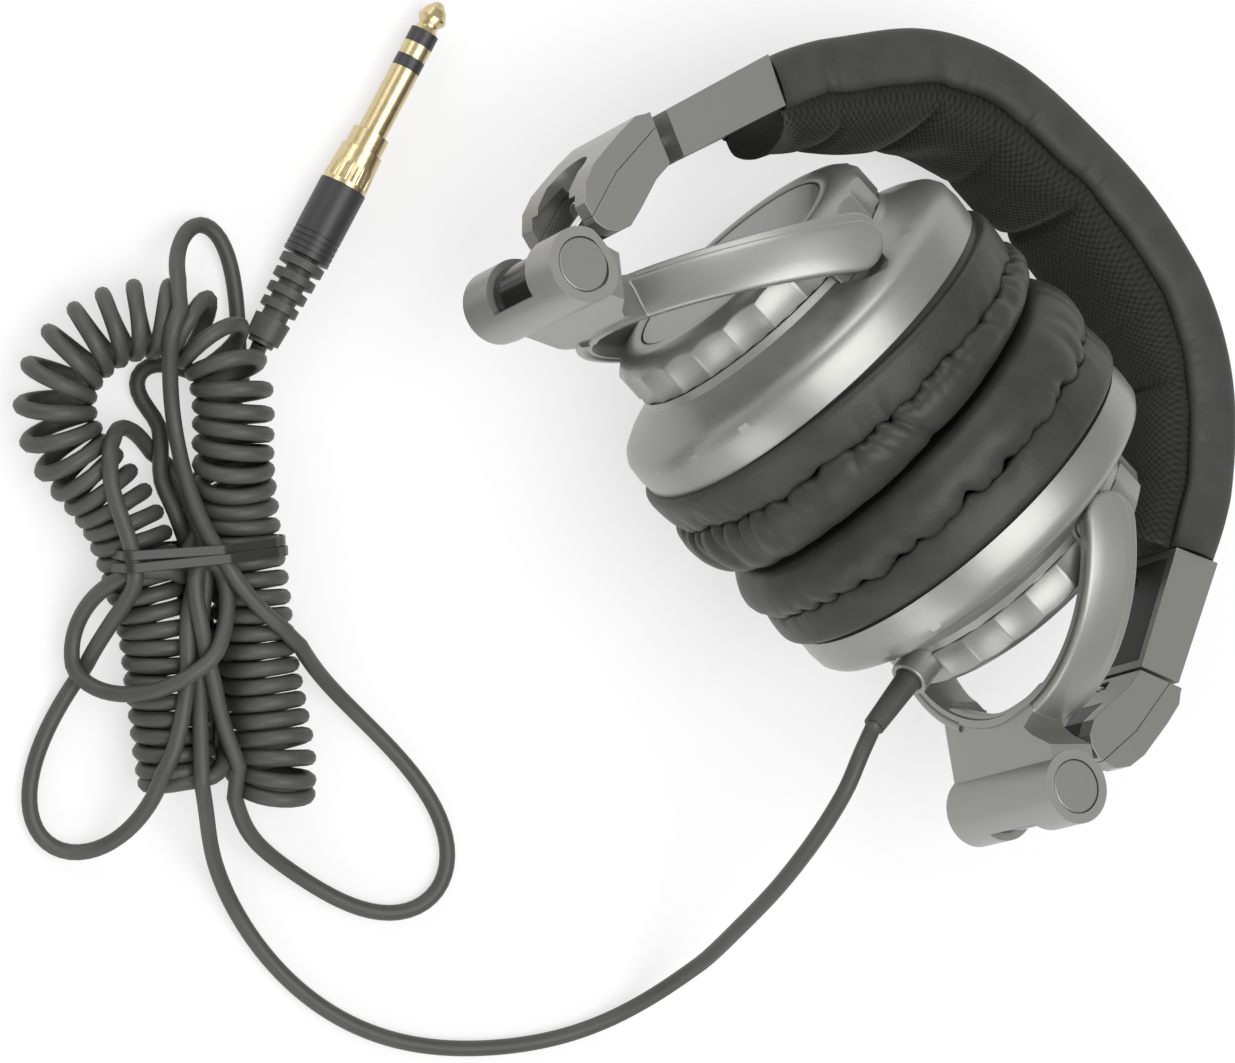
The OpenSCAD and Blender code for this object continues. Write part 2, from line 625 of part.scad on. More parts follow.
module cup(gland) color([0.6, 0.6, 0.58]) difference() {
  union() {
    rotate_extrude($fn = 120) polygon(concat(
      [[cap_r - 6, cap_low + 0.1]], bowl_line,
      [[rim_r - rim_wall, rim_reach], [rim_r - rim_wall, ledge], [rim_r - 4, ledge],
       [rim_r - 4, 11.2], [39.5, 9.4], [36.5, 8.1], [34, 6.8], [32.5, 5.4], [32, 3.4],
       [cap_r - 6, 3.4]]
    ));
    // solid ground behind the two lugs and arm ends
    intersection() {
      rotate_extrude($fn = 120) polygon(concat(
        [[cap_r - 6, cap_low + 0.1]], bowl_line, [[rim_r - 2, 9.6], [cap_r - 6, 9.6]]));
      for (side = [-1, 1]) translate([-9.5, side * 35 - 9, 0]) cube([19, 18, 9.6]);
    }
  }
  // pockets for the lugs, and room for the arm ends
  for (side = [-1, 1]) translate([-lug_half - part_gap, side * 28.95 - 5, 0])
    cube([2 * (lug_half + part_gap), 10, lug_deep + part_gap]);
  for (side = [-1, 1]) translate([0, side * 44, 0]) along_y(arm_width / 2 + 0.7, 20.8);
  if (gland) gland_bore();
}

module baffle() color([0.12, 0.12, 0.12]) translate([0, 0, ledge + part_gap]) difference() {
  cylinder(r = baffle_r, h = baffle_thick, $fn = 120);
  translate([0, 0, -1]) cylinder(r = driver_r + part_gap, h = 4, $fn = 96);
  for (k = [0:11]) rotate([0, 0, k * 30]) translate([driver_r + 7, 0, -1])
    cylinder(r = 1.6, h = 4, $fn = 24);
}

module driver() color([0.25, 0.25, 0.25]) {
  translate([0, 0, 7]) cylinder(r = driver_r - 6, h = 3, $fn = 96);
  translate([0, 0, 9]) cylinder(r = driver_r, h = ledge + 1.6 - 9, $fn = 96);
  translate([0, 0, ledge - 1.4]) cylinder(r = driver_r + 2.5, h = 1.4, $fn = 96);
}

module pad_ring() color([0.1, 0.1, 0.1]) translate([0, 0, ring_low]) difference() {
  cylinder(r = rim_r - 3, h = ring_thick, $fn = 120);
  translate([0, 0, -1]) cylinder(r = pad_hole_r, h = ring_thick + 2, $fn = 96);
}

module pad_cloth() color([0.08, 0.08, 0.08]) translate([0, 0, ring_low])
  cylinder(r = pad_hole_r - 0.2, h = 0.8, $fn = 96);

module ear_pad() color([0.15, 0.15, 0.15]) rotate_extrude($fn = 120) polygon([
  [pad_hole_r + 1, pad_foot], [pad_r + 0.2, pad_foot], [pad_r, 26], [pad_r - 0.4, 31],
  [pad_r - 1.8, 35], [pad_r - 4.8, pad_reach - 0.7], [pad_r - 8.5, pad_reach],
  [pad_hole_r + 7, pad_reach], [pad_hole_r + 3, pad_reach - 1.4], [pad_hole_r + 0.6, 34],
  [pad_hole_r, 28], [pad_hole_r + 0.3, 22]
]);

// ---- left and right pieces ----

module left_end_block() left() end_block();
module left_block_plate() left() block_plate();
module left_slide_guide() left() slide_guide();
module left_slide_strip() left() slide_strip(0);
module left_knee_outer() left() knee_outer(0);
module left_knee_inner() left() knee_inner(0);
module left_knee_cover() left() knee_cover(0);
module left_swivel_shaft() left() swivel_shaft(0);
module left_knuckle() left() knuckle(0);
module left_yoke() left() yoke(0, left_fold);
module left_barrel_caps() left() barrel_caps(0, left_fold);
module left_fold_pin() left() fold_pin(0, left_fold);
module left_pivot_pins() left() pivot_pins(0, left_fold);
module left_cap() left() at_cup(0, left_fold) cap(true);
module left_cap_disc() left() at_cup(0, left_fold) cap_disc();
module left_cup() left() at_cup(0, left_fold) cup(true);
module left_baffle() left() at_cup(0, left_fold) baffle();
module left_driver() left() at_cup(0, left_fold) driver();
module left_pad_ring() left() at_cup(0, left_fold) pad_ring();
module left_pad_cloth() left() at_cup(0, left_fold) pad_cloth();
module left_ear_pad() left() at_cup(0, left_fold) ear_pad();

module right_end_block() right() end_block();
module right_block_plate() right() block_plate();
module right_slide_guide() right() slide_guide();
module right_slide_strip() right() slide_strip(right_draw);
module right_knee_outer() right() knee_outer(right_draw);
module right_knee_inner() right() knee_inner(right_draw);
module right_knee_cover() right() knee_cover(right_draw);
module right_swivel_shaft() right() swivel_shaft(right_draw);
module right_knuckle() right() knuckle(right_draw);
module right_yoke() right() yoke(right_draw, right_fold);
module right_barrel_caps() right() barrel_caps(right_draw, right_fold);
module right_fold_pin() right() fold_pin(right_draw, right_fold);
module right_pivot_pins() right() pivot_pins(right_draw, right_fold);
module right_cap() right() at_cup(right_draw, right_fold) cap(false);
module right_cap_disc() right() at_cup(right_draw, right_fold) cap_disc();
module right_cup() right() at_cup(right_draw, right_fold) cup(false);
module right_baffle() right() at_cup(right_draw, right_fold) baffle();
module right_driver() right() at_cup(right_draw, right_fold) driver();
module right_pad_ring() right() at_cup(right_draw, right_fold) pad_ring();
module right_pad_cloth() right() at_cup(right_draw, right_fold) pad_cloth();
module right_ear_pad() right() at_cup(right_draw, right_fold) ear_pad();

// ---- cord ----

function unit(v) = v / norm(v);
function tangent(path, i) =
  unit(path[min(i + 1, len(path) - 1)] - path[max(i - 1, 0)]);
function tube_ring(path, i, r) = let (
    t = tangent(path, i),
    u = unit(cross(t, [0, 0, 1])),
    v = cross(u, t)
  ) [for (k = [0:cord_sides - 1])
      path[i] + r * (cos(k * 360 / cord_sides) * u + sin(k * 360 / cord_sides) * v)];

// A round tube along a path of points
module tube(path, r) stack_rings([for (i = [0:len(path) - 1]) tube_ring(path, i, r)]);

module cord_gland() left() at_cup(0, left_fold) color([0.62, 0.62, 0.6])
  rotate([0, -90, 0]) difference() {
    translate([0, 0, gland_from + 0.2]) cylinder(r = gland_r, h = gland_reach - gland_from - 0.2);
    translate([0, 0, relief_from]) cylinder(r = 2.95, h = 10);
  }

module strain_relief() left() at_cup(0, left_fold) color([0.08, 0.08, 0.08])
  rotate([0, -90, 0]) {
    translate([0, 0, relief_from + 0.05]) cylinder(r = 2.9, h = 3);
    translate([0, 0, relief_from + 3]) cylinder(r1 = 2.8, r2 = 2.3, h = relief_reach - relief_from - 3);
  }

module cord_lead() color([0.08, 0.08, 0.08]) tube(full_lead, cord_r);
module curly_cord() color([0.08, 0.08, 0.08]) tube(curly_route, curl_r);
module cord_tail() color([0.08, 0.08, 0.08]) tube(full_tail, cord_r);

module tie_outline(grow) hull() {
  translate([0, 9]) circle(r = curl_r + grow, $fn = 32);
  translate(tie_span) circle(r = curl_r + grow, $fn = 32);
  translate([12, 31]) circle(r = 5 + grow, $fn = 32);
}
module cord_tie() color([0.05, 0.05, 0.05]) translate([tie_at.x, tie_at.y, 0.9])
  rotate([90, 0, tie_turn]) linear_extrude(tie_width, center = true) difference() {
    tie_outline(0.3 + tie_thick);
    tie_outline(0.3);
  }

// ---- plug ----

module at_plug() translate(plug_tail) rotate([-90, 0, plug_turn]) children();

module plug_relief() color([0.06, 0.06, 0.06]) at_plug() difference() {
  union() {
    cylinder(r = 2.9, h = plug_relief_len);
    translate([0, 0, 1]) cylinder(r1 = 3.8, r2 = 4.1, h = 5);
    for (k = [0:3]) translate([0, 0, 8 + 3.4 * k]) cylinder(r = 4.2 + 0.25 * k, h = 1.9);
  }
  translate([0, 0, -1]) cylinder(r = cord_r + fit, h = 1);
}

module plug_body() color([0.06, 0.06, 0.06]) at_plug() difference() {
  translate([0, 0, plug_relief_len]) cylinder(r = plug_body_r, h = plug_body_end - plug_relief_len);
  for (k = [0:3]) translate([0, 0, plug_relief_len + 1 + 1.3 * k]) difference() {
    cylinder(r = plug_body_r + 1, h = 0.4);
    translate([0, 0, -1]) cylinder(r = plug_body_r - 0.3, h = 3);
  }
}

module plug_sleeve() color([0.75, 0.6, 0.3]) at_plug() difference() {
  union() {
    translate([0, 0, plug_body_end]) cylinder(r1 = 5.05, r2 = 4.65, h = knurl_end - plug_body_end);
    translate([0, 0, knurl_end]) cylinder(r = 4.15, h = collar_end - knurl_end);
  }
  // fine grooves of the grip
  for (k = [0:23]) rotate([0, 0, k * 15]) translate([5.25, 0, plug_body_end + 1])
    cylinder(r = 0.45, h = knurl_end - plug_body_end - 2, $fn = 12);
}

module jack_sleeve() color([0.78, 0.63, 0.32]) at_plug() {
  translate([0, 0, collar_end]) cylinder(r = plug_r, h = sleeve_end - collar_end);
}
module jack_insulators() color([0.05, 0.05, 0.05]) at_plug() {
  translate([0, 0, sleeve_end]) cylinder(r = plug_r, h = ring_from - sleeve_end);
  translate([0, 0, ring_to]) cylinder(r = plug_r, h = shaft_end - ring_to);
}
module jack_ring() color([0.78, 0.63, 0.32]) at_plug()
  translate([0, 0, ring_from]) cylinder(r = plug_r, h = ring_to - ring_from);
module jack_tip() color([0.78, 0.63, 0.32]) at_plug() rotate_extrude($fn = 64) polygon([
  [0, shaft_end], [2.8, shaft_end], [2.1, shaft_end + 1.3], [2.2, shaft_end + 1.9],
  [3.1, shaft_end + 3], [3.15, shaft_end + 3.5], [2.3, jack_end - 1.6], [0.9, jack_end], [0, jack_end]
]);

spring_band();
headband_cover();
headband_pad();
plate_screws();
left_end_block();
left_block_plate();
left_slide_guide();
left_slide_strip();
left_knee_outer();
left_knee_inner();
left_knee_cover();
left_swivel_shaft();
left_knuckle();
left_yoke();
left_barrel_caps();
left_fold_pin();
left_pivot_pins();
left_cap();
left_cap_disc();
left_cup();
left_baffle();
left_driver();
left_pad_ring();
left_ear_pad();
left_pad_cloth();
right_end_block();
right_block_plate();
right_slide_guide();
right_slide_strip();
right_knee_outer();
right_knee_inner();
right_knee_cover();
right_swivel_shaft();
right_knuckle();
right_yoke();
right_barrel_caps();
right_fold_pin();
right_pivot_pins();
right_cap();
right_cap_disc();
right_cup();
right_baffle();
right_driver();
right_pad_ring();
right_ear_pad();
right_pad_cloth();
cord_gland();
strain_relief();
cord_lead();
curly_cord();
cord_tail();
cord_tie();
plug_body();
plug_sleeve();
jack_sleeve();
jack_insulators();
jack_ring();
jack_tip();
plug_relief();
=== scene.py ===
# %% [markdown]
# # Folding headphones
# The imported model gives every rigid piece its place. This file dresses it: it makes the cord, the leather,
# the mesh and the finer hard pieces, and gives each of them a finish.
# Lengths are written in millimetres and turned into metres by MM, because one number style reads more easily.

import functools
import json
import bmesh
import bpy
import numpy as np
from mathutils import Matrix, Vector

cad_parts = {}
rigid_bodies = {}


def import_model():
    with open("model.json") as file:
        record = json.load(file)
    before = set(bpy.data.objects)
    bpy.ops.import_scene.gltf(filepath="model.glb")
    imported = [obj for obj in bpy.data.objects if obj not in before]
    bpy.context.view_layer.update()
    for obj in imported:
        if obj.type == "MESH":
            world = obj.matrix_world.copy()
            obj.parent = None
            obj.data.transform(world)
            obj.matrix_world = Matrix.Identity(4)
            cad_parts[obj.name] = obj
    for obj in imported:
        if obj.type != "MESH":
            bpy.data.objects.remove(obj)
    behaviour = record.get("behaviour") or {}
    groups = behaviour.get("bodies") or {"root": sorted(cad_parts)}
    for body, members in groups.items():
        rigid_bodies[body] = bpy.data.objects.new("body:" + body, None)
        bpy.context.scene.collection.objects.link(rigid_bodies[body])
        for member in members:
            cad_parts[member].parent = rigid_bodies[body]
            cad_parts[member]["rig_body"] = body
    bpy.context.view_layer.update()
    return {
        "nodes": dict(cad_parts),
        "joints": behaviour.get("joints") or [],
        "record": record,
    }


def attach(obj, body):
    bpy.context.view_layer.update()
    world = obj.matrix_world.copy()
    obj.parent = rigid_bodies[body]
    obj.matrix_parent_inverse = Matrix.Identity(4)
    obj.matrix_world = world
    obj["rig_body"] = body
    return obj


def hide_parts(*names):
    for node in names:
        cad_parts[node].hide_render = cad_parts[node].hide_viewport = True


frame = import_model()
MM = 0.001
TAU = 2 * np.pi

# %% [markdown]
# Surfaces are grids of points. One helper turns a grid into a mesh: each small square of the grid becomes
# a face, a direction that closes on itself joins its last row to its first, and an open end can get a cap.

# %% From a grid of points to a mesh
def grid_mesh(name, grid, close_u=False, close_v=False, caps=False, smooth=True, uv=None):
    """A mesh over grid[u, v] = (x, y, z). Face (i, j) joins points (i, j), (i+1, j), (i+1, j+1), (i, j+1)."""
    grid = np.asarray(grid, float)
    nu, nv = grid.shape[:2]
    iu = np.arange(nu if close_u else nu - 1)
    iv = np.arange(nv if close_v else nv - 1)
    a, b = np.meshgrid(iu, iv, indexing="ij")
    a1, b1 = (a + 1) % nu, (b + 1) % nv
    quads = np.stack([a * nv + b, a1 * nv + b, a1 * nv + b1, a * nv + b1], -1).reshape(-1, 4)
    faces = [tuple(q) for q in quads.tolist()]
    if caps:
        faces.append(tuple(range(nv - 1, -1, -1)))
        faces.append(tuple(range((nu - 1) * nv, nu * nv)))
    mesh = bpy.data.meshes.new(name)
    mesh.from_pydata(grid.reshape(-1, 3).tolist(), [], faces)
    if uv is not None:
        layer = mesh.uv_layers.new(name="UVMap")
        corner = np.empty(len(mesh.loops), np.int32)
        mesh.loops.foreach_get("vertex_index", corner)
        layer.data.foreach_set("uv", np.asarray(uv, float).reshape(-1, 2)[corner].ravel())
    mesh.polygons.foreach_set("use_smooth", [smooth] * len(mesh.polygons))
    mesh.update()
    piece = bpy.data.objects.new(name, mesh)
    bpy.context.scene.collection.objects.link(piece)
    return piece


def unit(v):
    """Each vector divided by its own length."""
    return v / np.maximum(np.linalg.norm(v, axis=-1, keepdims=True), 1e-12)

# %% [markdown]
# ## The camera
# It looks steeply down at the table from the corner where the cord lies. A long lens from about a metre
# keeps the near cup and the far band at nearly the same scale. A constraint could aim it at the middle of
# the headphones, but its turn round its own axis matters too, so its three angles are given.

# %% Camera
FOCAL_LENGTH, SENSOR_WIDTH = 121.6, 36
CAMERA_AT = (-0.22962, -0.22528, 0.87940)
CAMERA_TURN = (-2.8576, -16.7194, 46.3277)


def place_camera():
    """A camera at CAMERA_AT, in metres, turned by the Euler angles CAMERA_TURN, in degrees."""
    lens = bpy.data.cameras.new("camera")
    lens.lens = FOCAL_LENGTH
    lens.sensor_width = SENSOR_WIDTH
    lens.sensor_fit = "HORIZONTAL"
    lens.clip_start, lens.clip_end = 0.05, 20
    camera = bpy.data.objects.new("camera", lens)
    bpy.context.scene.collection.objects.link(camera)
    camera.location = CAMERA_AT
    camera.rotation_euler = np.radians(CAMERA_TURN)
    bpy.context.scene.camera = camera
    print("camera at", CAMERA_AT)


place_camera()

# %% [markdown]
# ## The table and the light
# The ground is a sheet of white paper. Bare paper would look grey under soft lamps, and a plain glow would
# swallow the shadow, so the camera sees a mix of both: white, with the object's soft shadow on it. Polished
# metal mirrors the ground, so its reflected rays get the same mix.

# %% The white ground
GROUND_HALF, GROUND_Z = 1.6, -0.0003
PAPER_WHITE, GLOW_SHARE = 0.86, 0.62


def white_ground():
    """A wide flat sheet just under z = 0: diffuse paper, and where it is seen, GLOW_SHARE of white light."""
    span = np.linspace(-GROUND_HALF, GROUND_HALF, 3)
    x, y = np.meshgrid(span, span, indexing="ij")
    ground = grid_mesh("ground", np.stack([x, y, np.full_like(x, GROUND_Z)], -1))
    material = bpy.data.materials.new("white_ground")
    material.use_nodes = True
    nodes, links = material.node_tree.nodes, material.node_tree.links
    nodes.clear()
    out = nodes.new("ShaderNodeOutputMaterial")
    mix = nodes.new("ShaderNodeMixShader")
    paper = nodes.new("ShaderNodeBsdfDiffuse")
    paper.inputs["Color"].default_value = (PAPER_WHITE, PAPER_WHITE, PAPER_WHITE, 1)
    glow = nodes.new("ShaderNodeEmission")
    glow.inputs["Color"].default_value = (1, 1, 1, 1)
    path = nodes.new("ShaderNodeLightPath")
    seen = nodes.new("ShaderNodeMath")
    seen.operation = "MAXIMUM"
    share = nodes.new("ShaderNodeMath")
    share.operation = "MULTIPLY"
    share.inputs[1].default_value = GLOW_SHARE
    links.new(path.outputs["Is Camera Ray"], seen.inputs[0])
    links.new(path.outputs["Is Glossy Ray"], seen.inputs[1])
    links.new(seen.outputs[0], share.inputs[0])
    links.new(share.outputs[0], mix.inputs["Fac"])
    links.new(paper.outputs[0], mix.inputs[1])
    links.new(glow.outputs[0], mix.inputs[2])
    links.new(mix.outputs[0], out.inputs["Surface"])
    ground.data.materials.append(material)


white_ground()

# %% [markdown]
# Satin lacquer shows its lamps as broad highlights. A sky picture could light it, but three big soft lamps
# say exactly where those highlights fall: one overhead, one at the left and a low one in front. An even
# white world fills what they leave dark.

# %% Lamps and world
# Name, place and aim in metres, size in metres, power in watts.
LAMPS = [
    ("top_lamp", (0.2, 0.0, 1.3), (0, 0, 0), (1.2, 0.9), 13),
    ("left_lamp", (-1.2, 0.3, 0.6), (0, 0, 0.03), (0.9, 0.7), 6),
    ("front_lamp", (0.5, -1.2, 0.5), (0, 0, 0.03), (0.9, 0.6), 4),
]
WORLD_LIGHT = 0.5


def soft_lamp(name, place, aim, size, power):
    """A rectangular area lamp of size (width, height) at place, turned so that it faces aim."""
    light = bpy.data.lights.new(name, "AREA")
    light.shape = "RECTANGLE"
    light.size, light.size_y = size
    light.energy = power
    lamp = bpy.data.objects.new(name, light)
    lamp.location = place
    lamp.rotation_euler = (Vector(aim) - Vector(place)).to_track_quat("-Z", "Y").to_euler()
    bpy.context.scene.collection.objects.link(lamp)


for lamp in LAMPS:
    soft_lamp(*lamp)
world = bpy.data.worlds.new("studio")
bpy.context.scene.world = world
world.use_nodes = True
world.node_tree.nodes["Background"].inputs["Color"].default_value = (1, 1, 1, 1)
world.node_tree.nodes["Background"].inputs["Strength"].default_value = WORLD_LIGHT
bpy.context.scene.view_settings.view_transform = "Standard"
print("lamps:", len(LAMPS))

# %% [markdown]
# ## Finishes
# Each finish is one small node tree on a Principled shader. Four effects serve several finishes, so each is
# a node group built once: "uneven" lets tone and gloss drift as they do on handled things, "grain" raises the
# fine bumps of moulded or lacquered surfaces, "weave" draws the cells of open knit, and "pebble" raises the
# small cells of leather. Pictures of real surfaces could do this too, but formulas have no seams and no size.

# %% Helpers for finishes
def finish(name, color, rough, metal=0.0, coat=0.0, sheen=0.0, spec=0.5):
    """A Principled material with its plain values on its own sockets.

    Returns (material, shader, nodes, links)."""
    material = bpy.data.materials.new(name)
    material.use_nodes = True
    nodes, links = material.node_tree.nodes, material.node_tree.links
    shader = nodes["Principled BSDF"]
    shader.inputs["Base Color"].default_value = (*color, 1)
    shader.inputs["Roughness"].default_value = rough
    shader.inputs["Metallic"].default_value = metal
    shader.inputs["Coat Weight"].default_value = coat
    shader.inputs["Sheen Weight"].default_value = sheen
    shader.inputs["Specular IOR Level"].default_value = spec
    return material, shader, nodes, links


def effect(name, inputs, outputs):
    """An empty node group with named sockets.

    Returns (group, nodes, links, what it is given, what it makes)."""
    group = bpy.data.node_groups.new(name, "ShaderNodeTree")
    for label, kind in inputs:
        group.interface.new_socket(label, in_out="INPUT", socket_type="NodeSocket" + kind)
    for label, kind in outputs:
        group.interface.new_socket(label, in_out="OUTPUT", socket_type="NodeSocket" + kind)
    nodes = group.nodes
    return group, nodes, group.links, nodes.new("NodeGroupInput").outputs, nodes.new("NodeGroupOutput").inputs


def spotted(nodes, links, given):
    """A noise on Object coordinates, which are metres here, so Scale is spots to the metre."""
    place = nodes.new("ShaderNodeTexCoord")
    tex = nodes.new("ShaderNodeTexNoise")
    links.new(given["Scale"], tex.inputs["Scale"])
    links.new(given["Detail"], tex.inputs["Detail"])
    links.new(place.outputs["Object"], tex.inputs["Vector"])
    return tex.outputs["Fac"]


NOISE_LOW, NOISE_HIGH = 0.3, 0.7


def between(nodes, links, value, dark, light, made):
    """Goes from dark to light as value goes from NOISE_LOW to NOISE_HIGH, where most of a noise lies."""
    part = nodes.new("ShaderNodeMapRange")
    part.inputs["From Min"].default_value = NOISE_LOW
    part.inputs["From Max"].default_value = NOISE_HIGH
    mix = nodes.new("ShaderNodeMix")
    mix.data_type = "RGBA"
    links.new(value, part.inputs["Value"])
    links.new(part.outputs["Result"], mix.inputs[0])
    links.new(dark, mix.inputs[6])
    links.new(light, mix.inputs[7])
    links.new(mix.outputs[2], made)


# %% [markdown]
# Each effect is a function that fills one group. It could be one big group with switches, but small ones are
# easier to read, and each material then carries only what it needs.

# %% The four effects
def uneven_effect():
    """Colour from Dark to Light and roughness from Smooth to Rough, both along one noise."""
    group, nodes, links, given, made = effect(
        "uneven", [("Scale", "Float"), ("Detail", "Float"), ("Dark", "Color"), ("Light", "Color"),
                   ("Smooth", "Float"), ("Rough", "Float")], [("Color", "Color"), ("Roughness", "Float")])
    value = spotted(nodes, links, given)
    between(nodes, links, value, given["Dark"], given["Light"], made["Color"])
    gloss = nodes.new("ShaderNodeMapRange")
    links.new(value, gloss.inputs["Value"])
    links.new(given["Smooth"], gloss.inputs["To Min"])
    links.new(given["Rough"], gloss.inputs["To Max"])
    links.new(gloss.outputs["Result"], made["Roughness"])
    return group


def raised(nodes, links, height, given, made):
    """Bumps of Depth metres, on the given normal where the effect has that socket."""
    bump = nodes.new("ShaderNodeBump")
    links.new(given["Strength"], bump.inputs["Strength"])
    links.new(given["Depth"], bump.inputs["Distance"])
    links.new(height, bump.inputs["Height"])
    if "Normal" in given.keys():
        links.new(given["Normal"], bump.inputs["Normal"])
    links.new(bump.outputs["Normal"], made["Normal"])


def grain_effect():
    """Fine bumps from a noise."""
    group, nodes, links, given, made = effect(
        "grain", [("Scale", "Float"), ("Detail", "Float"), ("Depth", "Float"), ("Strength", "Float")],
        [("Normal", "Vector")])
    raised(nodes, links, spotted(nodes, links, given), given, made)
    return group


WEAVE_TURN, WEAVE_STRETCH, WEAVE_WANDER = np.radians(45), (0.8, 1.1, 1), 0.12


def weave_effect():
    """Staggered cells on the given vector: each has a hole of colour Hole, with colour Thread round it."""
    group, nodes, links, given, made = effect(
        "weave", [("Vector", "Vector"), ("Cells", "Float"), ("Thread", "Color"), ("Hole", "Color"),
                  ("Depth", "Float"), ("Strength", "Float")], [("Color", "Color"), ("Normal", "Vector")])
    turned = nodes.new("ShaderNodeMapping")
    turned.inputs["Rotation"].default_value = (0, 0, WEAVE_TURN)
    turned.inputs["Scale"].default_value = WEAVE_STRETCH
    cells = nodes.new("ShaderNodeTexVoronoi")
    cells.inputs["Randomness"].default_value = WEAVE_WANDER
    links.new(given["Cells"], cells.inputs["Scale"])
    links.new(given["Vector"], turned.inputs["Vector"])
    links.new(turned.outputs["Vector"], cells.inputs["Vector"])
    between(nodes, links, cells.outputs["Distance"], given["Thread"], given["Hole"], made["Color"])
    raised(nodes, links, cells.outputs["Distance"], given, made)
    return group


def pebble_effect():
    """Small rounded cells, raised over the given normal."""
    group, nodes, links, given, made = effect(
        "pebble", [("Cells", "Float"), ("Depth", "Float"), ("Strength", "Float"), ("Normal", "Vector")],
        [("Normal", "Vector")])
    place = nodes.new("ShaderNodeTexCoord")
    cells = nodes.new("ShaderNodeTexVoronoi")
    links.new(place.outputs["Object"], cells.inputs["Vector"])
    links.new(given["Cells"], cells.inputs["Scale"])
    raised(nodes, links, cells.outputs["Distance"], given, made)
    return group


UNEVEN, GRAIN, WEAVE, PEBBLE = uneven_effect(), grain_effect(), weave_effect(), pebble_effect()
print("effects:", [group.name for group in (UNEVEN, GRAIN, WEAVE, PEBBLE)])


def use(nodes, group, **values):
    """Places an effect in a material with its own values; colours are given as three numbers."""
    node = nodes.new("ShaderNodeGroup")
    node.node_tree = group
    for label, value in values.items():
        node.inputs[label].default_value = (*value, 1) if isinstance(value, tuple) else value
    return node


def uneven(nodes, links, shader, scale, detail, color, drift, rough, less, more):
    """Lets a shader's colour drift by the share drift, and its roughness by less and more."""
    low, high = (tuple(min(c * f, 1) for c in color) for f in (1 - drift, 1 + drift))
    node = use(nodes, UNEVEN, Scale=scale, Detail=detail, Dark=low, Light=high,
               Smooth=rough - less, Rough=rough + more)
    links.new(node.outputs["Color"], shader.inputs["Base Color"])
    links.new(node.outputs["Roughness"], shader.inputs["Roughness"])

# %% [markdown]
# ## The cord
# The real cord is one cable about three and a half metres long: a smooth lead from the ear cup, a curly
# stretch, and a short smooth tail to the plug. It is bunched and held by a tie, with loops sticking out.
# A simulation from a straight cable would never fall into these loops, so the route is a list of points in
# plan; the last number of each is a first guess at its height.

# %% Route of the cord, in millimetres
LEAD = [
    (41, -73.5, 66.5), (43.5, -80, 66), (47.5, -89, 61), (53.5, -100.5, 48), (59, -111, 32),
    (63.5, -120.5, 17), (65, -133.5, 6), (60, -149, 2), (47.5, -165.5, 2), (32, -179, 2),
    (13.5, -186, 2), (-5, -186.5, 3), (-20.5, -183, 8), (-36, -176.5, 19), (-48.5, -168, 19),
    (-59, -158, 20), (-69.5, -147, 23), (-78.5, -138.5, 27), (-89, -131, 25), (-101, -126, 14),
    (-110.5, -126.5, 4), (-111, -138, 14), (-101.5, -144, 21), (-86, -146.5, 21), (-80, -160.5, 8),
    (-75, -180.5, 2), (-66, -200, 2), (-54, -206.5, 2), (-44.5, -196.5, 2), (-47, -180.5, 19),
    (-53.5, -167, 20), (-66.5, -153.5, 21), (-79, -143.5, 24), (-84, -132, 20), (-89.5, -117.5, 8),
    (-100, -101, 2), (-114.5, -88.5, 2), (-123, -82.6, 2), (-129.3, -81, 2), (-132.8, -85, 2), (-129, -94, 3),
    (-117, -109.5, 20), (-101, -122.5, 23), (-88, -130, 30), (-76.5, -135.5, 34), (-55.5, -137.5, 26),
    (-27, -135.5, 4), (-3.5, -135.5, 2), (14, -142.5, 2), (16, -157.5, 2), (0, -167, 2),
    (-26.5, -169.5, 19), (-50.5, -160.5, 22), (-65, -151.5, 25), (-76, -145, 25), (-83, -141.5, 22),
    (-88, -135.5, 20), (-85, -129.5, 20), (-78, -130, 21), (-70, -136, 25), (-63, -144.5, 28),
    (-61, -156, 26), (-67.5, -170, 20), (-76.5, -176.5, 6), (-85, -168.5, 4), (-88, -155, 16),
    (-80, -145, 12), (-66, -148, 3), (-55, -155, 2), (-46, -162, 2), (-39, -168, 2), (-33, -168, 2),
    (-28, -162, 2),
]
CURL = [
    (-28, -162, 9), (-38, -154, 9), (-48, -146.5, 11), (-57, -140.5, 15), (-66, -134.5, 19),
    (-76, -128.5, 21), (-86, -120.5, 18), (-94, -111.5, 13), (-102, -104.5, 9.5), (-111, -103, 9),
    (-119.5, -107, 9), (-125, -115, 9), (-127.5, -125, 9), (-125, -135, 9), (-117, -141, 9),
    (-107, -142, 9), (-96, -142, 9), (-86, -143.5, 9), (-76, -150, 9), (-66, -158, 9),
    (-56, -166, 9), (-45, -174, 9),
]
TAIL = [
    (-45, -174, 16), (-41, -168, 14), (-43, -161, 9), (-52, -153, 6), (-64, -145, 7), (-75, -141, 14),
    (-84, -137, 22), (-94.5, -131, 21), (-104, -122, 12), (-110.5, -123.5, 4), (-116, -122, 2),
    (-117.5, -117, 2),
    (-113, -113, 2), (-106, -111, 2), (-99.8, -107.5, 2.2), (-98, -102.5, 3.5), (-99.2, -98.5, 4.7),
    (-100, -96, 5.3),
]
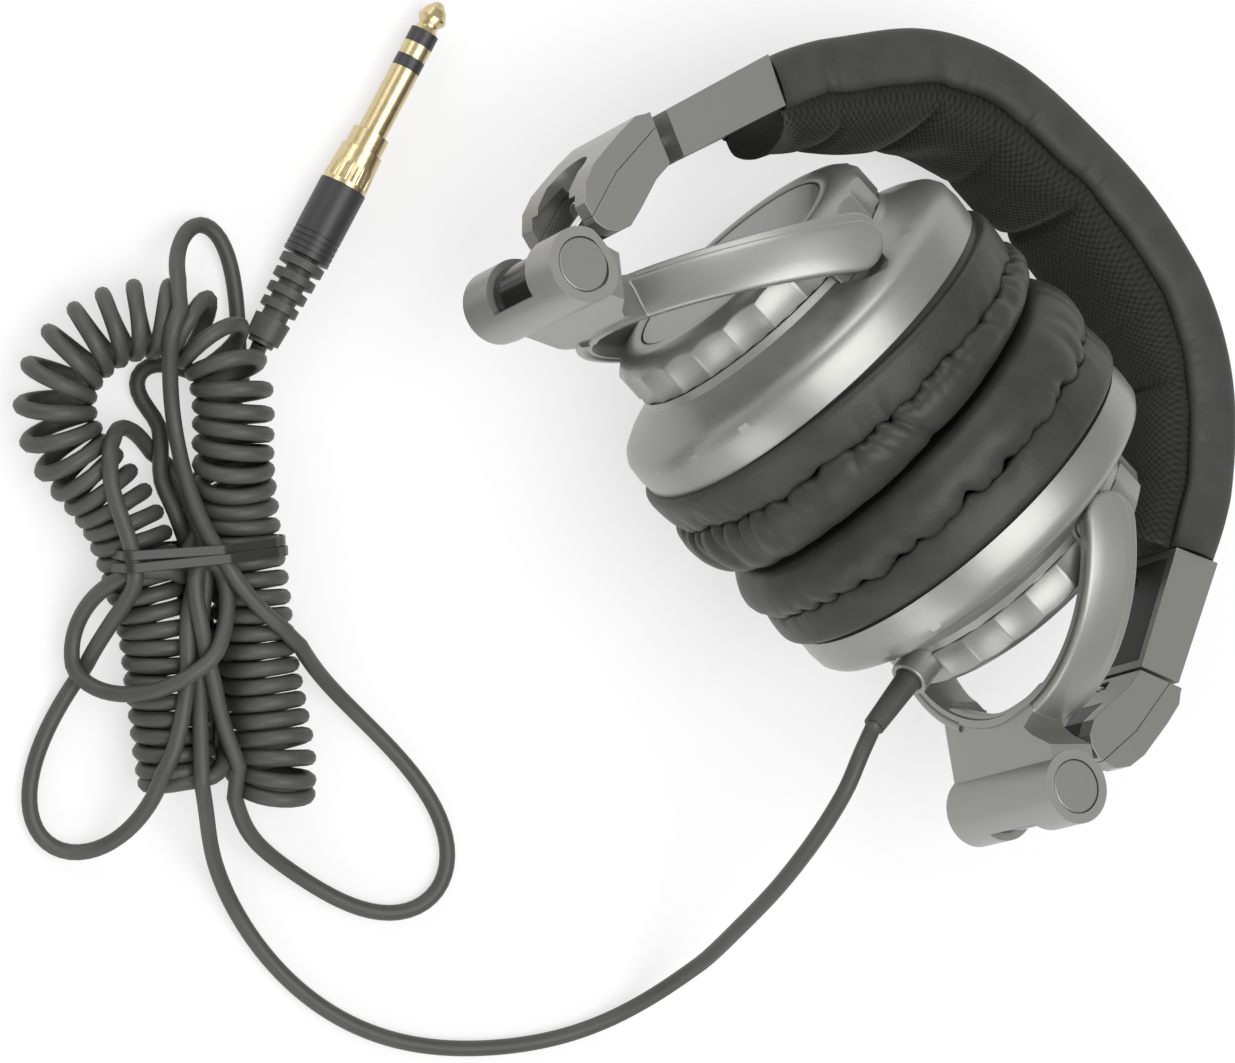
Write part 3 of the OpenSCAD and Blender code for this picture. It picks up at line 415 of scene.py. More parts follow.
# Radius of the cord, of the curly stretch's middle line, and where and which way the cord leaves its relief.
CORD_R = 1.75
CURL_R = 7.05
RELIEF_TIP = np.array((39.0, -65.5, 63.3))
RELIEF_WAY = np.array((0, -0.937, 0.35))
print("route points:", len(LEAD), len(CURL), len(TAIL))


def resample(line, step):
    """The same line with its points at even steps along its own length."""
    line = np.asarray(line, float)
    far = np.r_[0, np.cumsum(np.linalg.norm(np.diff(line, axis=0), axis=1))]
    at = np.linspace(0, far[-1], max(int(round(far[-1] / step)), 2) + 1)
    return np.stack([np.interp(at, far, line[:, k]) for k in range(3)], 1)


SPAN_POINTS = 24


def through(points, step):
    """A smooth line through points: on each span, a cubic whose slope at a point is half the chord
    between that point's neighbours."""
    p = np.asarray(points, float)
    p = np.vstack([2 * p[0] - p[1], p, 2 * p[-1] - p[-2]])
    t = np.linspace(0, 1, SPAN_POINTS, endpoint=False)[:, None]
    a, b, c, d = p[:-3, None], p[1:-2, None], p[2:-1, None], p[3:, None]
    line = 0.5 * (2 * b + (c - a) * t + (2 * a - 5 * b + 4 * c - d) * t**2 + (3 * b - a - 3 * c + d) * t**3)
    return resample(np.vstack([line.reshape(-1, 3), p[-2]]), step)

# %% [markdown]
# A cable lies where gravity and its neighbours put it. Blender's own physics could drop it, but not keep its
# loops in plan, so the next function is a small simulation of its own: points sink a little, are pulled back
# to their place in plan, are evened out like a springy strand, and are pushed apart where two strands touch.
# Which of two crossing strands is on top comes from the guessed heights.

# %% Settling strands on each other
# Sinking in mm a round; share of the way home in plan; share of the way to the neighbours' middle.
SINK, HOMING, EVENING = 0.12, 0.25, np.array((0.3, 0.3, 0.45))
# A strand is tested against its own points from OWN_GAP places on. Pairs closer than touching + LOOK mm are
# picked out anew every LOOK_EVERY rounds.
OWN_GAP, LOOK, LOOK_EVERY = 14, 4, 10
# Points of a strand thicker than THICK mm give way by this share of what a thin one does.
THICK, THICK_GIVE = 5, 0.3
PARTINGS, PARTING_SHARE = 3, 0.8
LIFT = 0.05


def settle(strands, radii, held, rounds=420, calm=3.0):
    """Moves each strand's points by four rules in turn: down by SINK, a share HOMING of the way home in plan,
    part of the way to the middle of their neighbours, and out of touch by the missing distance. The first
    two rules fade out over the last third, or are off when calm is 0, so that the strands can part fully.
    held says how many points at each strand's start and end stay where they are."""
    count = [len(s) for s in strands]
    start = np.r_[0, np.cumsum(count)]
    p = np.vstack(strands)
    home = p.copy()
    owner = np.repeat(np.arange(len(strands)), count)
    place = np.concatenate([np.arange(n) for n in count])
    r = np.repeat(radii, count)
    free = np.ones(len(p))
    for k, (head, end) in enumerate(held):
        free[start[k]:start[k] + head] = 0
        free[start[k + 1] - end:start[k + 1]] = 0
    give = np.where(r > THICK, THICK_GIVE, 1.0) * free
    inner = np.concatenate([np.arange(start[k] + 1, start[k + 1] - 1) for k in range(len(strands))])
    apart = (owner[:, None] != owner[None]) | (abs(place[:, None] - place[None]) > OWN_GAP)
    i_all, j_all = np.nonzero(np.triu(apart, 1))
    need_all = r[i_all] + r[j_all]
    rise = home[i_all, 2] - home[j_all, 2]
    for n in range(rounds):
        pull = min(1.0, calm * (1 - n / rounds))
        p[:, 2] -= SINK * pull * give
        p[:, :2] += HOMING * pull * (home[:, :2] - p[:, :2]) * free[:, None]
        middle = (p[inner - 1] + p[inner + 1]) / 2 - p[inner]
        p[inner] += middle * EVENING * (0.4 + 0.6 * pull) * free[inner, None]
        if n % LOOK_EVERY == 0:
            gap = np.linalg.norm(p[i_all] - p[j_all], axis=1)
            close = np.nonzero(gap < need_all + LOOK)[0]
            i, j, need = i_all[close], j_all[close], need_all[close]
            keep_side = abs(rise[close]) > 1
            side = np.sign(rise[close])
        for _ in range(PARTINGS):
            d = p[i] - p[j]
            d[:, 2] = np.where(keep_side & (d[:, 2] * side < 0), -d[:, 2], d[:, 2])
            gap = np.linalg.norm(d, axis=1)
            hit = gap < need
            a, b = i[hit], j[hit]
            push = d[hit] / np.maximum(gap[hit], 1e-6)[:, None] * (need[hit] - gap[hit])[:, None]
            both = np.maximum(give[a] + give[b], 1e-9)
            move, touched = np.zeros_like(p), np.zeros(len(p))
            np.add.at(move, a, push * (give[a] / both)[:, None])
            np.add.at(move, b, -push * (give[b] / both)[:, None])
            np.add.at(touched, a, 1)
            np.add.at(touched, b, 1)
            p += PARTING_SHARE * move / np.sqrt(np.maximum(touched, 1))[:, None]
        p[:, 2] = np.where(free > 0, np.maximum(p[:, 2], r + LIFT), p[:, 2])
    return [p[start[k]:start[k + 1]] for k in range(len(strands))]

# %% [markdown]
# The curly stretch is a helix round its own settled middle line. A Screw modifier would wind it round a
# straight axis only. Where the line bends, the turns would bite into each other on the inside, so there the
# pitch grows: it is at least the cord's thickness divided by (1 - helix radius x curvature). Elsewhere each
# turn nearly touches the next.

# %% Winding the curly stretch
# Spacing in mm of the middle line's points, the least pitch at which two turns clear, and points to a turn.
WIND_STEP, CLEAR_PITCH, TURN_POINTS = 0.25, 3.55, 18


def frames(line):
    """Ahead, side and up directions along a line, with up kept as near to vertical as it can be."""
    ahead = unit(np.gradient(line, axis=0))
    side = unit(np.cross(ahead, (0, 0, 1)))
    return ahead, side, np.cross(side, ahead)


def smooth(values, reach):
    """Each value becomes the mean of those within reach on both sides, twice over."""
    soft = np.ones(2 * reach + 1) / (2 * reach + 1)
    rows = np.asarray(values, float).reshape(len(values), -1)
    for _ in range(2):
        tall = np.vstack([rows[:1]] * reach + [rows] + [rows[-1:]] * reach)
        rows = np.stack([np.convolve(tall[:, k], soft, "valid") for k in range(rows.shape[1])], 1)
    return rows.reshape(np.shape(values))


def wind(middle, radius, pitch):
    """A helix round middle: angle grows by one turn for each pitch of length. It starts at the underside
    and ends on top, so that the smooth cord can run in and out square to it."""
    line = smooth(resample(middle, WIND_STEP), 16)
    ahead, side, up = frames(line)
    turn = smooth(np.linalg.norm(np.gradient(unit(smooth(ahead, 12)), axis=0), axis=1) / WIND_STEP, 20)
    each = smooth(np.maximum(pitch, CLEAR_PITCH / np.maximum(1 - radius * turn, 0.5)), 12)
    angle = np.r_[0, np.cumsum(WIND_STEP / each[:-1])] * TAU
    turns = np.floor(angle[-1] / TAU - 0.5) + 0.5
    angle *= turns * TAU / angle[-1]
    print("turns of the curly stretch:", turns)
    at = np.linspace(0, turns * TAU, int(turns * TURN_POINTS) + 1)
    pick = np.interp(at, angle, np.arange(len(line)))
    mix = lambda a: np.stack([np.interp(pick, np.arange(len(a)), a[:, k]) for k in range(3)], 1)
    return mix(line) + radius * (np.sin(at)[:, None] * mix(side) - np.cos(at)[:, None] * mix(up))

# %% [markdown]
# A cable has a smallest bend that it likes, and its jacket is a round tube. A curve object with a bevel
# could give the tube, but a mesh lets its rings be carried along without twist, so that no facet turns in the
# loops.

# %% Bends and the tube
def ease(line, least, rounds):
    """Rounds off bends tighter than least: each such point goes towards the middle of its neighbours."""
    line = line.copy()
    for _ in range(rounds):
        before, after = line[1:-1] - line[:-2], line[2:] - line[1:-1]
        bend = np.linalg.norm(unit(after) - unit(before), axis=1)
        step = np.linalg.norm(before, axis=1)
        tight = np.clip(bend * least / step - 1, 0, 1)
        wide = smooth(tight, 3)
        line[1:-1] += 0.5 * np.minimum(wide * 3, 1)[:, None] * (line[:-2] + line[2:] - 2 * line[1:-1]) / 2
        line[:, 2] = np.maximum(line[:, 2], CORD_R + LIFT)
    return line


def round_tube(name, line, radius, sides=10):
    """A closed tube round a line. Its rings are carried along without twist, from each ring to the next."""
    ahead = unit(np.gradient(line, axis=0))
    side = np.empty_like(line)
    side[0] = unit(np.cross(ahead[0], (0.1, 0.2, 1)))
    for k in range(1, len(line)):
        flat = side[k - 1] - ahead[k] * (side[k - 1] @ ahead[k])
        side[k] = flat / np.linalg.norm(flat)
    up = np.cross(ahead, side)
    angle = -np.linspace(0, TAU, sides, endpoint=False)[None, :, None]
    r = np.broadcast_to(np.asarray(radius, float), len(line))[:, None, None]
    grid = line[:, None] + r * (np.cos(angle) * side[:, None] + np.sin(angle) * up[:, None])
    return grid_mesh(name, grid * MM, close_v=True, caps=True)

# %% [markdown]
# Three pieces could be laid end to end, but one mesh tube follows the whole cable, so that no seam shows
# where smooth turns into curly. It is laid as three strands, wound, joined, and then settled once more.

# %% The cable as one piece
# Spacing in mm of a route's points and of the joined line's; the curly strand's radius and its pitch.
ROUTE_STEP, LINE_STEP = 2.5, 2.4
CURLY_R, CURLY_PITCH = 9.0, 3.75
LEAST_BEND, EASE_ROUNDS = 4.2, 80
EASINGS, LAST_ROUNDS = 3, 40


def lay_cord():
    """Settles the three stretches, winds the curly one, joins them and builds the tube."""
    lead = through([tuple(RELIEF_TIP), tuple(RELIEF_TIP + 4 * RELIEF_WAY)] + LEAD, ROUTE_STEP)
    curl, tail = through(CURL, ROUTE_STEP), through(TAIL, ROUTE_STEP)
    lead, curl, tail = settle([lead, curl, tail], (CORD_R, CURLY_R, CORD_R), [(36, 2), (2, 2), (2, 3)])
    coil = wind(curl, CURL_R, CURLY_PITCH)
    way_in, way_out = unit(coil[1] - coil[0]), unit(coil[-1] - coil[-2])
    lead = through([*lead[:-9:3], coil[0] - 8 * way_in, coil[0] - 4 * way_in, coil[0]], LINE_STEP)
    tail = [coil[-1], coil[-1] + 4 * way_out, coil[-1] + 8 * way_out, *tail[9:-1:3], tail[-1]]
    tail = through(tail, LINE_STEP)
    for _ in range(EASINGS):
        lead, tail = ease(lead, LEAST_BEND, EASE_ROUNDS), ease(tail, LEAST_BEND, EASE_ROUNDS)
        lead, _, tail = settle([lead, coil[::2], tail], (CORD_R, CORD_R, CORD_R),
                               [(36, 3), (len(coil), 0), (3, 3)], LAST_ROUNDS, 0.0)
    line = np.vstack([lead[:-1], coil, tail[1:]])
    cord = round_tube("cable", line, CORD_R)
    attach(cord, "left_cup")
    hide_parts("cord_lead", "curly_cord", "cord_tail")
    return cord, line


cable, cable_line = lay_cord()

# %% [markdown]
# A flat plastic tie goes twice round the whole bunch. Two ovals would float off the strands in places, so
# each wrap is worked out as the tight outline of the strands that pass through it, as a string pulled round
# them would lie.

# %% The tie
# A place under the bunch, the way across it in degrees, and the wrap's section: (out, along) in mm.
TIE_AT, TIE_TURN = np.array((-83.5, -143.1, 0.0)), np.radians(50.3)
TIE_SECTION = [(0.0, -1.0), (0.36, -1.05), (0.5, -0.9), (0.5, 0.9), (0.36, 1.05), (0.0, 1.0)]
# A strand point counts within TIE_NEAR of the wrap and within TIE_HALF of the bunch's middle, all in mm.
TIE_NEAR, TIE_MIDDLE, TIE_HALF, TIE_POINTS = 1.6, 12, 22, 240
TIE_GAP, TIE_SWAY = 0.1, 9
# What is pressed flat on the table stops this far above it, in mm.
TABLE_GAP = 0.1


def make_tie(name, shift, lean):
    """One wrap: in each direction, the farthest strand point plus the strand's radius. shift moves the whole
    wrap along the bunch, and lean lets it wander by lean x sin(across / TIE_SWAY)."""
    across = np.array((np.cos(TIE_TURN), np.sin(TIE_TURN), 0))
    through_way = np.array((np.sin(TIE_TURN), -np.cos(TIE_TURN), 0))
    from_tie = cable_line - TIE_AT
    u, v, w = from_tie @ across, from_tie[:, 2], from_tie @ through_way
    near = (np.abs(w - shift) < TIE_NEAR) & (np.abs(u - TIE_MIDDLE) < TIE_HALF)
    strands = np.column_stack([u[near], v[near]])
    way = np.linspace(0, TAU, TIE_POINTS, endpoint=False)
    way = np.stack([np.cos(way), np.sin(way)], 1)
    reach, side = np.array(TIE_SECTION).T
    farthest = strands[np.argmax(strands @ way.T, axis=0)]
    spot = farthest[:, None] + (CORD_R + TIE_GAP + reach)[None, :, None] * way[:, None]
    high = np.maximum(spot[..., 1], TABLE_GAP)
    off = shift + side + lean * np.sin(spot[..., :1].mean(1) / TIE_SWAY)
    piece = grid_mesh(name, (TIE_AT + spot[..., :1] * across + high[..., None] * (0, 0, 1)
                             + off[..., None] * through_way) * MM, close_u=True, close_v=True, smooth=False)
    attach(piece, frame["nodes"]["cord_tie"]["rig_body"])
    return piece


ties = [make_tie("tie_upper", -1.15, 0.25), make_tie("tie_lower", 1.15, -0.15)]
for tie in ties:
    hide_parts("cord_tie")
print("ties:", [tie.name for tie in ties])

# %% [markdown]
# ## Materials
# The shell is zinc and plastic under a silver-grey satin lacquer. Black parts are moulded plastic; the pads
# and the headband are thin soft leather, and the plug is gold-plated. One material with a picture for each
# part would do, but each finish is one function here, so that two tones of the same lacquer stay alike.

# %% Lacquer, plastics, metals
def silver(name, color, rough):
    """Satin lacquer: half metal, a small noise in tone, and an orange-peel bump finer than a millimetre."""
    material, shader, nodes, links = finish(name, color, rough, metal=0.75, coat=0.15)
    uneven(nodes, links, shader, 9000, 2, color, 0.07, rough, 0.03, 0.05)
    peel = use(nodes, GRAIN, Scale=2600, Detail=2, Depth=0.00002, Strength=0.5)
    links.new(peel.outputs["Normal"], shader.inputs["Normal"])
    return material


def plastic(name, color, rough, grain=3000, depth=0.00003, coat=0.0):
    """Moulded plastic or rubber: a fine spark-eroded bump and slightly uneven gloss."""
    material, shader, nodes, links = finish(name, color, rough, coat=coat)
    uneven(nodes, links, shader, 90, 2, color, 0.1, rough, 0.04, 0.05)
    fine = use(nodes, GRAIN, Scale=grain, Detail=3, Depth=depth, Strength=0.5)
    links.new(fine.outputs["Normal"], shader.inputs["Normal"])
    return material


def metal(name, color, rough):
    """Bare or plated metal: faint turning marks and slight colour drift."""
    material, shader, nodes, links = finish(name, color, rough, metal=1.0)
    uneven(nodes, links, shader, 600, 2, color, 0.05, rough, 0.04, 0.06)
    return material

# %% [markdown]
# Leather has small pebbles on top of broader creases, and the knit is a net of fine holes. Both are too small
# to model: bumps and colour are enough at this distance. The knit follows the pad's own UV map, so that it
# bends with the band.


# %% Leather and cloth
def leather(name, color, rough):
    """Thin soft leather: pebble grain cells half a millimetre wide over broader creases."""
    material, shader, nodes, links = finish(name, color, rough, spec=0.3)
    uneven(nodes, links, shader, 160, 4, color, 0.15, rough, 0.06, 0.08)
    broad = use(nodes, GRAIN, Scale=160, Detail=4, Depth=0.0004, Strength=0.4)
    pebble = use(nodes, PEBBLE, Cells=1500, Depth=0.00006, Strength=0.5)
    links.new(broad.outputs["Normal"], pebble.inputs["Normal"])
    links.new(pebble.outputs["Normal"], shader.inputs["Normal"])
    return material


def mesh_cloth(name, color, step, source="Object"):
    """Open knit: cells of step metres in staggered rows, with a hole in the middle of each."""
    material, shader, nodes, links = finish(name, color, 0.85, sheen=0.1, spec=0.15)
    place = nodes.new("ShaderNodeTexCoord")
    thread, hole = tuple(1.5 * c for c in color), tuple(0.4 * c for c in color)
    knit = use(nodes, WEAVE, Cells=1 / step, Thread=thread, Hole=hole, Depth=0.0005, Strength=0.8)
    links.new(place.outputs[source], knit.inputs["Vector"])
    links.new(knit.outputs["Color"], shader.inputs["Base Color"])
    links.new(knit.outputs["Normal"], shader.inputs["Normal"])
    return material


# %% [markdown]
# Every finish is made once, under the name of the record's own slot, and then each piece gets one. Painting
# piece by piece would work too, but a table shows all the finishes side by side.

# %% The finishes and their pieces
finishes = {
    "silver_shell": silver("silver_shell", (0.30, 0.30, 0.285), 0.38),
    "silver_yoke": silver("silver_yoke", (0.33, 0.33, 0.315), 0.42),
    "dark_plastic": plastic("dark_plastic", (0.035, 0.035, 0.034), 0.45),
    "bright_steel": metal("bright_steel", (0.7, 0.7, 0.68), 0.2),
    "black_gloss": plastic("black_gloss", (0.008, 0.008, 0.008), 0.2, coat=0.15),
    "driver_shell": plastic("driver_shell", (0.03, 0.03, 0.03), 0.5),
    "ear_leather": leather("ear_leather", (0.036, 0.0365, 0.033), 0.42),
    "thin_cloth": mesh_cloth("thin_cloth", (0.02, 0.02, 0.02), 0.0008),
    "spring_steel": metal("spring_steel", (0.5, 0.5, 0.5), 0.3),
    "band_leather": leather("band_leather", (0.044, 0.045, 0.041), 0.55),
    "band_mesh": mesh_cloth("band_mesh", (0.0185, 0.019, 0.0163), 0.0011, "UV"),
    "dark_steel": metal("dark_steel", (0.06, 0.06, 0.06), 0.35),
    "cord_rubber": plastic("cord_rubber", (0.056, 0.0575, 0.0515), 0.5, 2200, 0.00004),
    "tie_plastic": plastic("tie_plastic", (0.02, 0.02, 0.019), 0.42),
    "plug_plastic": plastic("plug_plastic", (0.03, 0.03, 0.03), 0.4),
    "gold": metal("gold", (0.66, 0.54, 0.31), 0.27),
}
slot_of = {part["node"]: part["material_slot"] for part in frame["record"]["subparts"]}


def paint(piece, name):
    """Gives a piece one finish, the one made under the record's slot name."""
    piece.data.materials.clear()
    piece.data.materials.append(finishes[name])


for node, piece in frame["nodes"].items():
    paint(piece, slot_of[node])
paint(cable, "cord_rubber")
for tie in ties:
    paint(tie, "tie_plastic")
print("finishes:", len(finishes))

# %% [markdown]
# ## Forks and cups
# Each cup hangs in a fork whose two arms bow round it, and the whole is laid on the table at a lean. Turning
# every finished piece into place would do, but the points are worked out along the real directions at once:
# the cup's axis, the table's lean, and the way along a fork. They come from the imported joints.

# %% Fork and cup directions
LEAN = np.radians(20.472)
BACK = np.array((0, -np.sin(LEAN), -np.cos(LEAN)))
UP = np.array((0, np.cos(LEAN), -np.sin(LEAN)))
joint = {j["name"]: j for j in frame["joints"]}
CUPS = {side: (np.array(joint[side + "_cup_turn"]["pos_m"]) / MM, np.array((sign, 0, 0)))
        for side, sign in (("left", -1), ("right", 1))}


def round_axis(side, out, r, angle):
    """Points round a cup's axis: pivot + out x axis + r x (cos angle x up + sin angle x back)."""
    pivot, axis = CUPS[side]
    out, r, angle = (np.asarray(v, float)[..., None] for v in (out, r, angle))
    return pivot + out * axis + r * (np.cos(angle) * UP + np.sin(angle) * BACK)


def fork_axes(side):
    """The hinge point, the way from the hinge to the cup's pivot, and the way outward square to it."""
    hinge, pivot = np.array(joint[side + "_fold"]["pos_m"]) / MM, CUPS[side][0]
    along = unit(pivot - hinge)
    return hinge, along, unit(np.cross(BACK, along)) * (1 if side == "left" else -1)


print("cup pivots, mm:", {side: pivot.round(1).tolist() for side, (pivot, _) in CUPS.items()})

# %% [markdown]
# A cast fork isn't a plain ring: its base falls back in flat facets between the hinge drum and the arms, and
# the right one lies leaning a little. Carving could do that by hand. Here the base is cut across at a few
# distances from the hinge, and the points between the cuts are drawn in, so the facets stay flat.

# %% Facets and lean of the forks
# How far outward a fork leans, in mm, and how much its outer half is slimmed, at these distances from its
# hinge.
LEAN_AT = (3, 15, 53, 60)
FORK_LEAN = {"left": (0, 0, 0, 0), "right": (0, -3.2, 1.0, 1.5)}
FORK_SLIM = {"left": (0, 0, 0, 0), "right": (0, 0.42, 0.04, 0)}
# Share of the base's near half that is kept, at these distances from the hinge: a facet from drum to arm.
ROOT_AT = (8, 9, 12, 14, 16, 18, 20)
ROOT_KEPT = (1, 0.97, 0.62, 0.48, 0.62, 0.84, 1)


def cut_root(side, form):
    """Cuts the fork's base across, so that its near side can fall back in facets."""
    hinge, along, _ = fork_axes(side)
    for far in ROOT_AT[1:]:
        bmesh.ops.bisect_plane(form, geom=form.verts[:] + form.edges[:] + form.faces[:],
                               plane_co=(hinge + far * along) * MM, plane_no=along)


def shape_fork(side, spot):
    """Fork points in mm: the near side of the base drawn in, then everything leaned."""
    hinge, along, _ = fork_axes(side)
    far, back = (spot - hinge) @ along, (spot - hinge) @ BACK
    drawn = np.where(back < 0, back * (np.interp(far, ROOT_AT, ROOT_KEPT) - 1), 0)
    return lean_fork(side, spot + drawn[..., None] * BACK)


def lean_fork(side, spot):
    """Points in mm moved outward by lean - slim x their own outward reach."""
    hinge, along, outward = fork_axes(side)
    far = (spot - hinge) @ along
    reach = np.maximum((spot - hinge) @ outward, 0)
    shift = np.interp(far, LEAN_AT, FORK_LEAN[side]) - np.interp(far, LEAN_AT, FORK_SLIM[side]) * reach
    return spot + shift[..., None] * outward

# %% [markdown]
# Real moulded and cast pieces have no razor edges. Rounding them in a shader would leave the outline sharp,
# so a copy of each rigid piece gets its flat triangles joined into whole faces, its sharp edges marked, and a
# narrow Bevel modifier, and every edge catches the light.

# %% Softened copies of the rigid pieces
HARD = {
    "end_block": 0.5, "block_plate": 0.3, "knee_outer": 0.8, "knee_inner": 0.8, "knee_cover": 0.3,
    "knuckle": 0.3, "yoke": 0.5, "barrel_caps": 0.3, "cap": 0.35, "cap_disc": 0.3, "cup": 0.35,
    "swivel_shaft": 0.3, "slide_strip": 0.15,
}
GLAND_EDGE = 0.4
# Edges that turn by more than this stay sharp and are bevelled, in as many strips as BEVEL_STRIPS.
SHARP_TURN, BEVEL_STRIPS = np.radians(28), 3
# Points nearer than this, in metres, are one; faces that turn by less than FLAT_TURN are one face.
SAME_POINT, FLAT_TURN = 2e-6, np.radians(0.7)


def soften(node, width, cut=None, move=None):
    """A copy of a node with edges bevelled by width mm, which stands for the node.
    cut adds edges first, and move then shifts its points in mm."""
    source = frame["nodes"][node]
    mesh = source.data.copy()
    form = bmesh.new()
    form.from_mesh(mesh)
    bmesh.ops.remove_doubles(form, verts=form.verts, dist=SAME_POINT)
    bmesh.ops.dissolve_limit(form, angle_limit=FLAT_TURN, verts=form.verts, edges=form.edges)
    if cut is not None:
        cut(form)
    for edge in form.edges:
        edge.smooth = bool(len(edge.link_faces) == 2 and edge.calc_face_angle(0) < SHARP_TURN)
    for face in form.faces:
        face.smooth = True
    form.to_mesh(mesh)
    form.free()
    if mesh.has_custom_normals:
        mesh.attributes.remove(mesh.attributes["custom_normal"])
    if move is not None:
        spots = np.empty(3 * len(mesh.vertices), np.float32)
        mesh.vertices.foreach_get("co", spots)
        mesh.vertices.foreach_set("co", (move(spots.reshape(-1, 3) / MM) * MM).astype(np.float32).ravel())
        mesh.update()
    piece = bpy.data.objects.new("soft_" + node, mesh)
    bpy.context.scene.collection.objects.link(piece)
    bevel = piece.modifiers.new("edge", "BEVEL")
    bevel.width = width * MM
    bevel.segments = BEVEL_STRIPS
    bevel.limit_method = "ANGLE"
    bevel.angle_limit = SHARP_TURN
    bevel.harden_normals = True
    bevel.use_clamp_overlap = True
    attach(piece, source["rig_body"])
    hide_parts(node)
    paint(piece, slot_of[node])


for side in ("left", "right"):
    for part, width in HARD.items():
        if part != "yoke":
            soften(f"{side}_{part}", width)
    soften(side + "_yoke", HARD["yoke"], cut=functools.partial(cut_root, side),
           move=functools.partial(shape_fork, side))
soften("cord_gland", GLAND_EDGE)
print("softened pieces:", 2 * len(HARD) + 1)

# %% [markdown]
# The fork arms carry a raised flat strap with a step along one edge. It starts at a slanting edge near the
# hinge and ends round over the pivot. It could be cut out of the arm, but it is the same section all along,
# so that section is carried round the ring and on over the end.

# %% Straps
# The strap's section: (across the arm, radius round the fork's ring) in mm.
STRAP = [(-6.05, 36.8), (-6.05, 38.45), (-5.75, 38.85), (-5.2, 39.1), (-2.5, 39.37), (0, 39.42),
         (2.5, 39.36), (3.7, 39.24), (3.95, 39.1), (4.1, 38.85), (4.3, 38.78), (5.3, 38.7), (5.75, 38.58),
         (6.05, 38.2), (6.05, 36.8)]
STRAP_WIDER, STRAP_SHIFT = 1.05, {"left": 0.35, "right": 0}
# The strap starts at STRAP_START degrees before the pivot, and STRAP_SLANT degrees more for each mm across.
STRAP_START, STRAP_SLANT = 73, 0.55
# Distance from the hinge to the ring's centre, radius of the round end, and how far that end dips, in mm.
RING_R, ROUND_R, END_DIP = 53.0, 6.05, 1.1
STRAP_FOOT = 37


def make_strap(side, hand):
    """One arm's raised face: round the ring from the slanting edge to the pivot, then straight on to a
    round end, where across shrinks as a cosine and the face dips. hand is -1 for the near arm, 1 for the
    far one."""
    section = np.array(STRAP)
    hinge, along, outward = fork_axes(side)
    across, r = section[:, 0] * STRAP_WIDER + STRAP_SHIFT[side], section[:, 1]
    start = np.radians(STRAP_START + STRAP_SLANT * across)
    part = np.linspace(1, 0, 60)[:, None]
    turn = part * start
    ring = [across + 0 * turn, r * np.cos(turn), RING_R - r * np.sin(turn)]
    bend = np.linspace(0.06, np.pi / 2, 16)[:, None]
    drop = END_DIP * np.clip((np.sin(bend) - 0.86) / 0.14, 0, 1) ** 2 * (r > STRAP_FOOT)
    tip = [across * np.cos(bend), r - drop, RING_R + ROUND_R * np.sin(bend) + 0 * across]
    x, y, z = (np.vstack(pair) for pair in zip(ring, tip))
    spot = hinge + x[..., None] * outward + hand * y[..., None] * BACK + z[..., None] * along
    name = f"{side}_strap_{'near' if hand < 0 else 'far'}"
    piece = grid_mesh(name, lean_fork(side, spot) * MM, close_v=True, caps=True)
    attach(piece, frame["nodes"][side + "_yoke"]["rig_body"])
    paint(piece, slot_of[side + "_yoke"])


for side in ("left", "right"):
    for hand in (-1, 1):
        make_strap(side, hand)

# %% [markdown]
# The cap on each cup is turned by hand, so its edge has broad finger scallops that meet in sharp ridges. A
# Boolean with a ring of cylinders could cut them. A formula keeps the ridges crisp: the outline's radius is a
# parabola between each two ridges, and the rest of the section follows it.

# %% Cap rings
# Scallops to a turn, where the first ridge stands in degrees, its radius and the scallops' depth in mm.
SCALLOPS, CAP_PHASE, RIDGE_R, SCALLOP = 24, 7.5, 33.4, 0.75
# The slope under the edge: it starts at this radius and height, and rises by this much a mm.
SLOPE_R, SLOPE_OUT, SLOPE = 31.3, -7.6, 0.75


def make_cap_ring(side):
    """Scallops: between ridges r falls below RIDGE_R by SCALLOP x (1 - (2 u - 1)^2), u going from 0 to 1."""
    turn = np.linspace(0, TAU, 480, endpoint=False)
    share = (np.degrees(turn) - CAP_PHASE) / (360 / SCALLOPS) % 1
    edge = RIDGE_R - SCALLOP * (1 - (2 * share - 1) ** 2)
    top = SLOPE_OUT + (edge - SLOPE_R) * SLOPE
    fixed = lambda value: np.full_like(edge, value)
    rows = [(25.0, -7.8), (25.0, -8.55), (25.2, -8.74), (28.2, -8.78), (28.7, -8.66), (31.3, -7.65),
            (edge - 0.35, top - 0.2), (edge - 0.1, top + 0.02), (edge, top + 0.3), (edge, 0.6),
            (edge - 0.2, 0.85), (31.0, 0.85), (31.0, -4.4), (28.0, -7.4)]
    r, out = (np.stack([fixed(row[k]) if np.isscalar(row[k]) else row[k] for row in rows], 1) for k in (0, 1))
    grid = round_axis(side, out, r, turn[:, None]) * MM
    piece = grid_mesh(side + "_cap_ring", grid, close_u=True, close_v=True)
    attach(piece, frame["nodes"][side + "_cap"]["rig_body"])
    paint(piece, slot_of[side + "_cap"])


for side in ("left", "right"):
    make_cap_ring(side)
print("scallops on each cap:", SCALLOPS)

# %% [markdown]
# ## Ear pads
# Each pad is a ring of foam in soft leather. A flat skirt hooks round the cup, a gathered seam follows, and
# then the leather swells out and flattens where the two pads press on each other. Cloth simulation could
# swell it, but its folds would fall anywhere, so the pad is an outline carried round the cup's axis, and its
# folds are added by formula. Distances are measured from the cup's pivot: out along the ear axis, and r away
# from it.

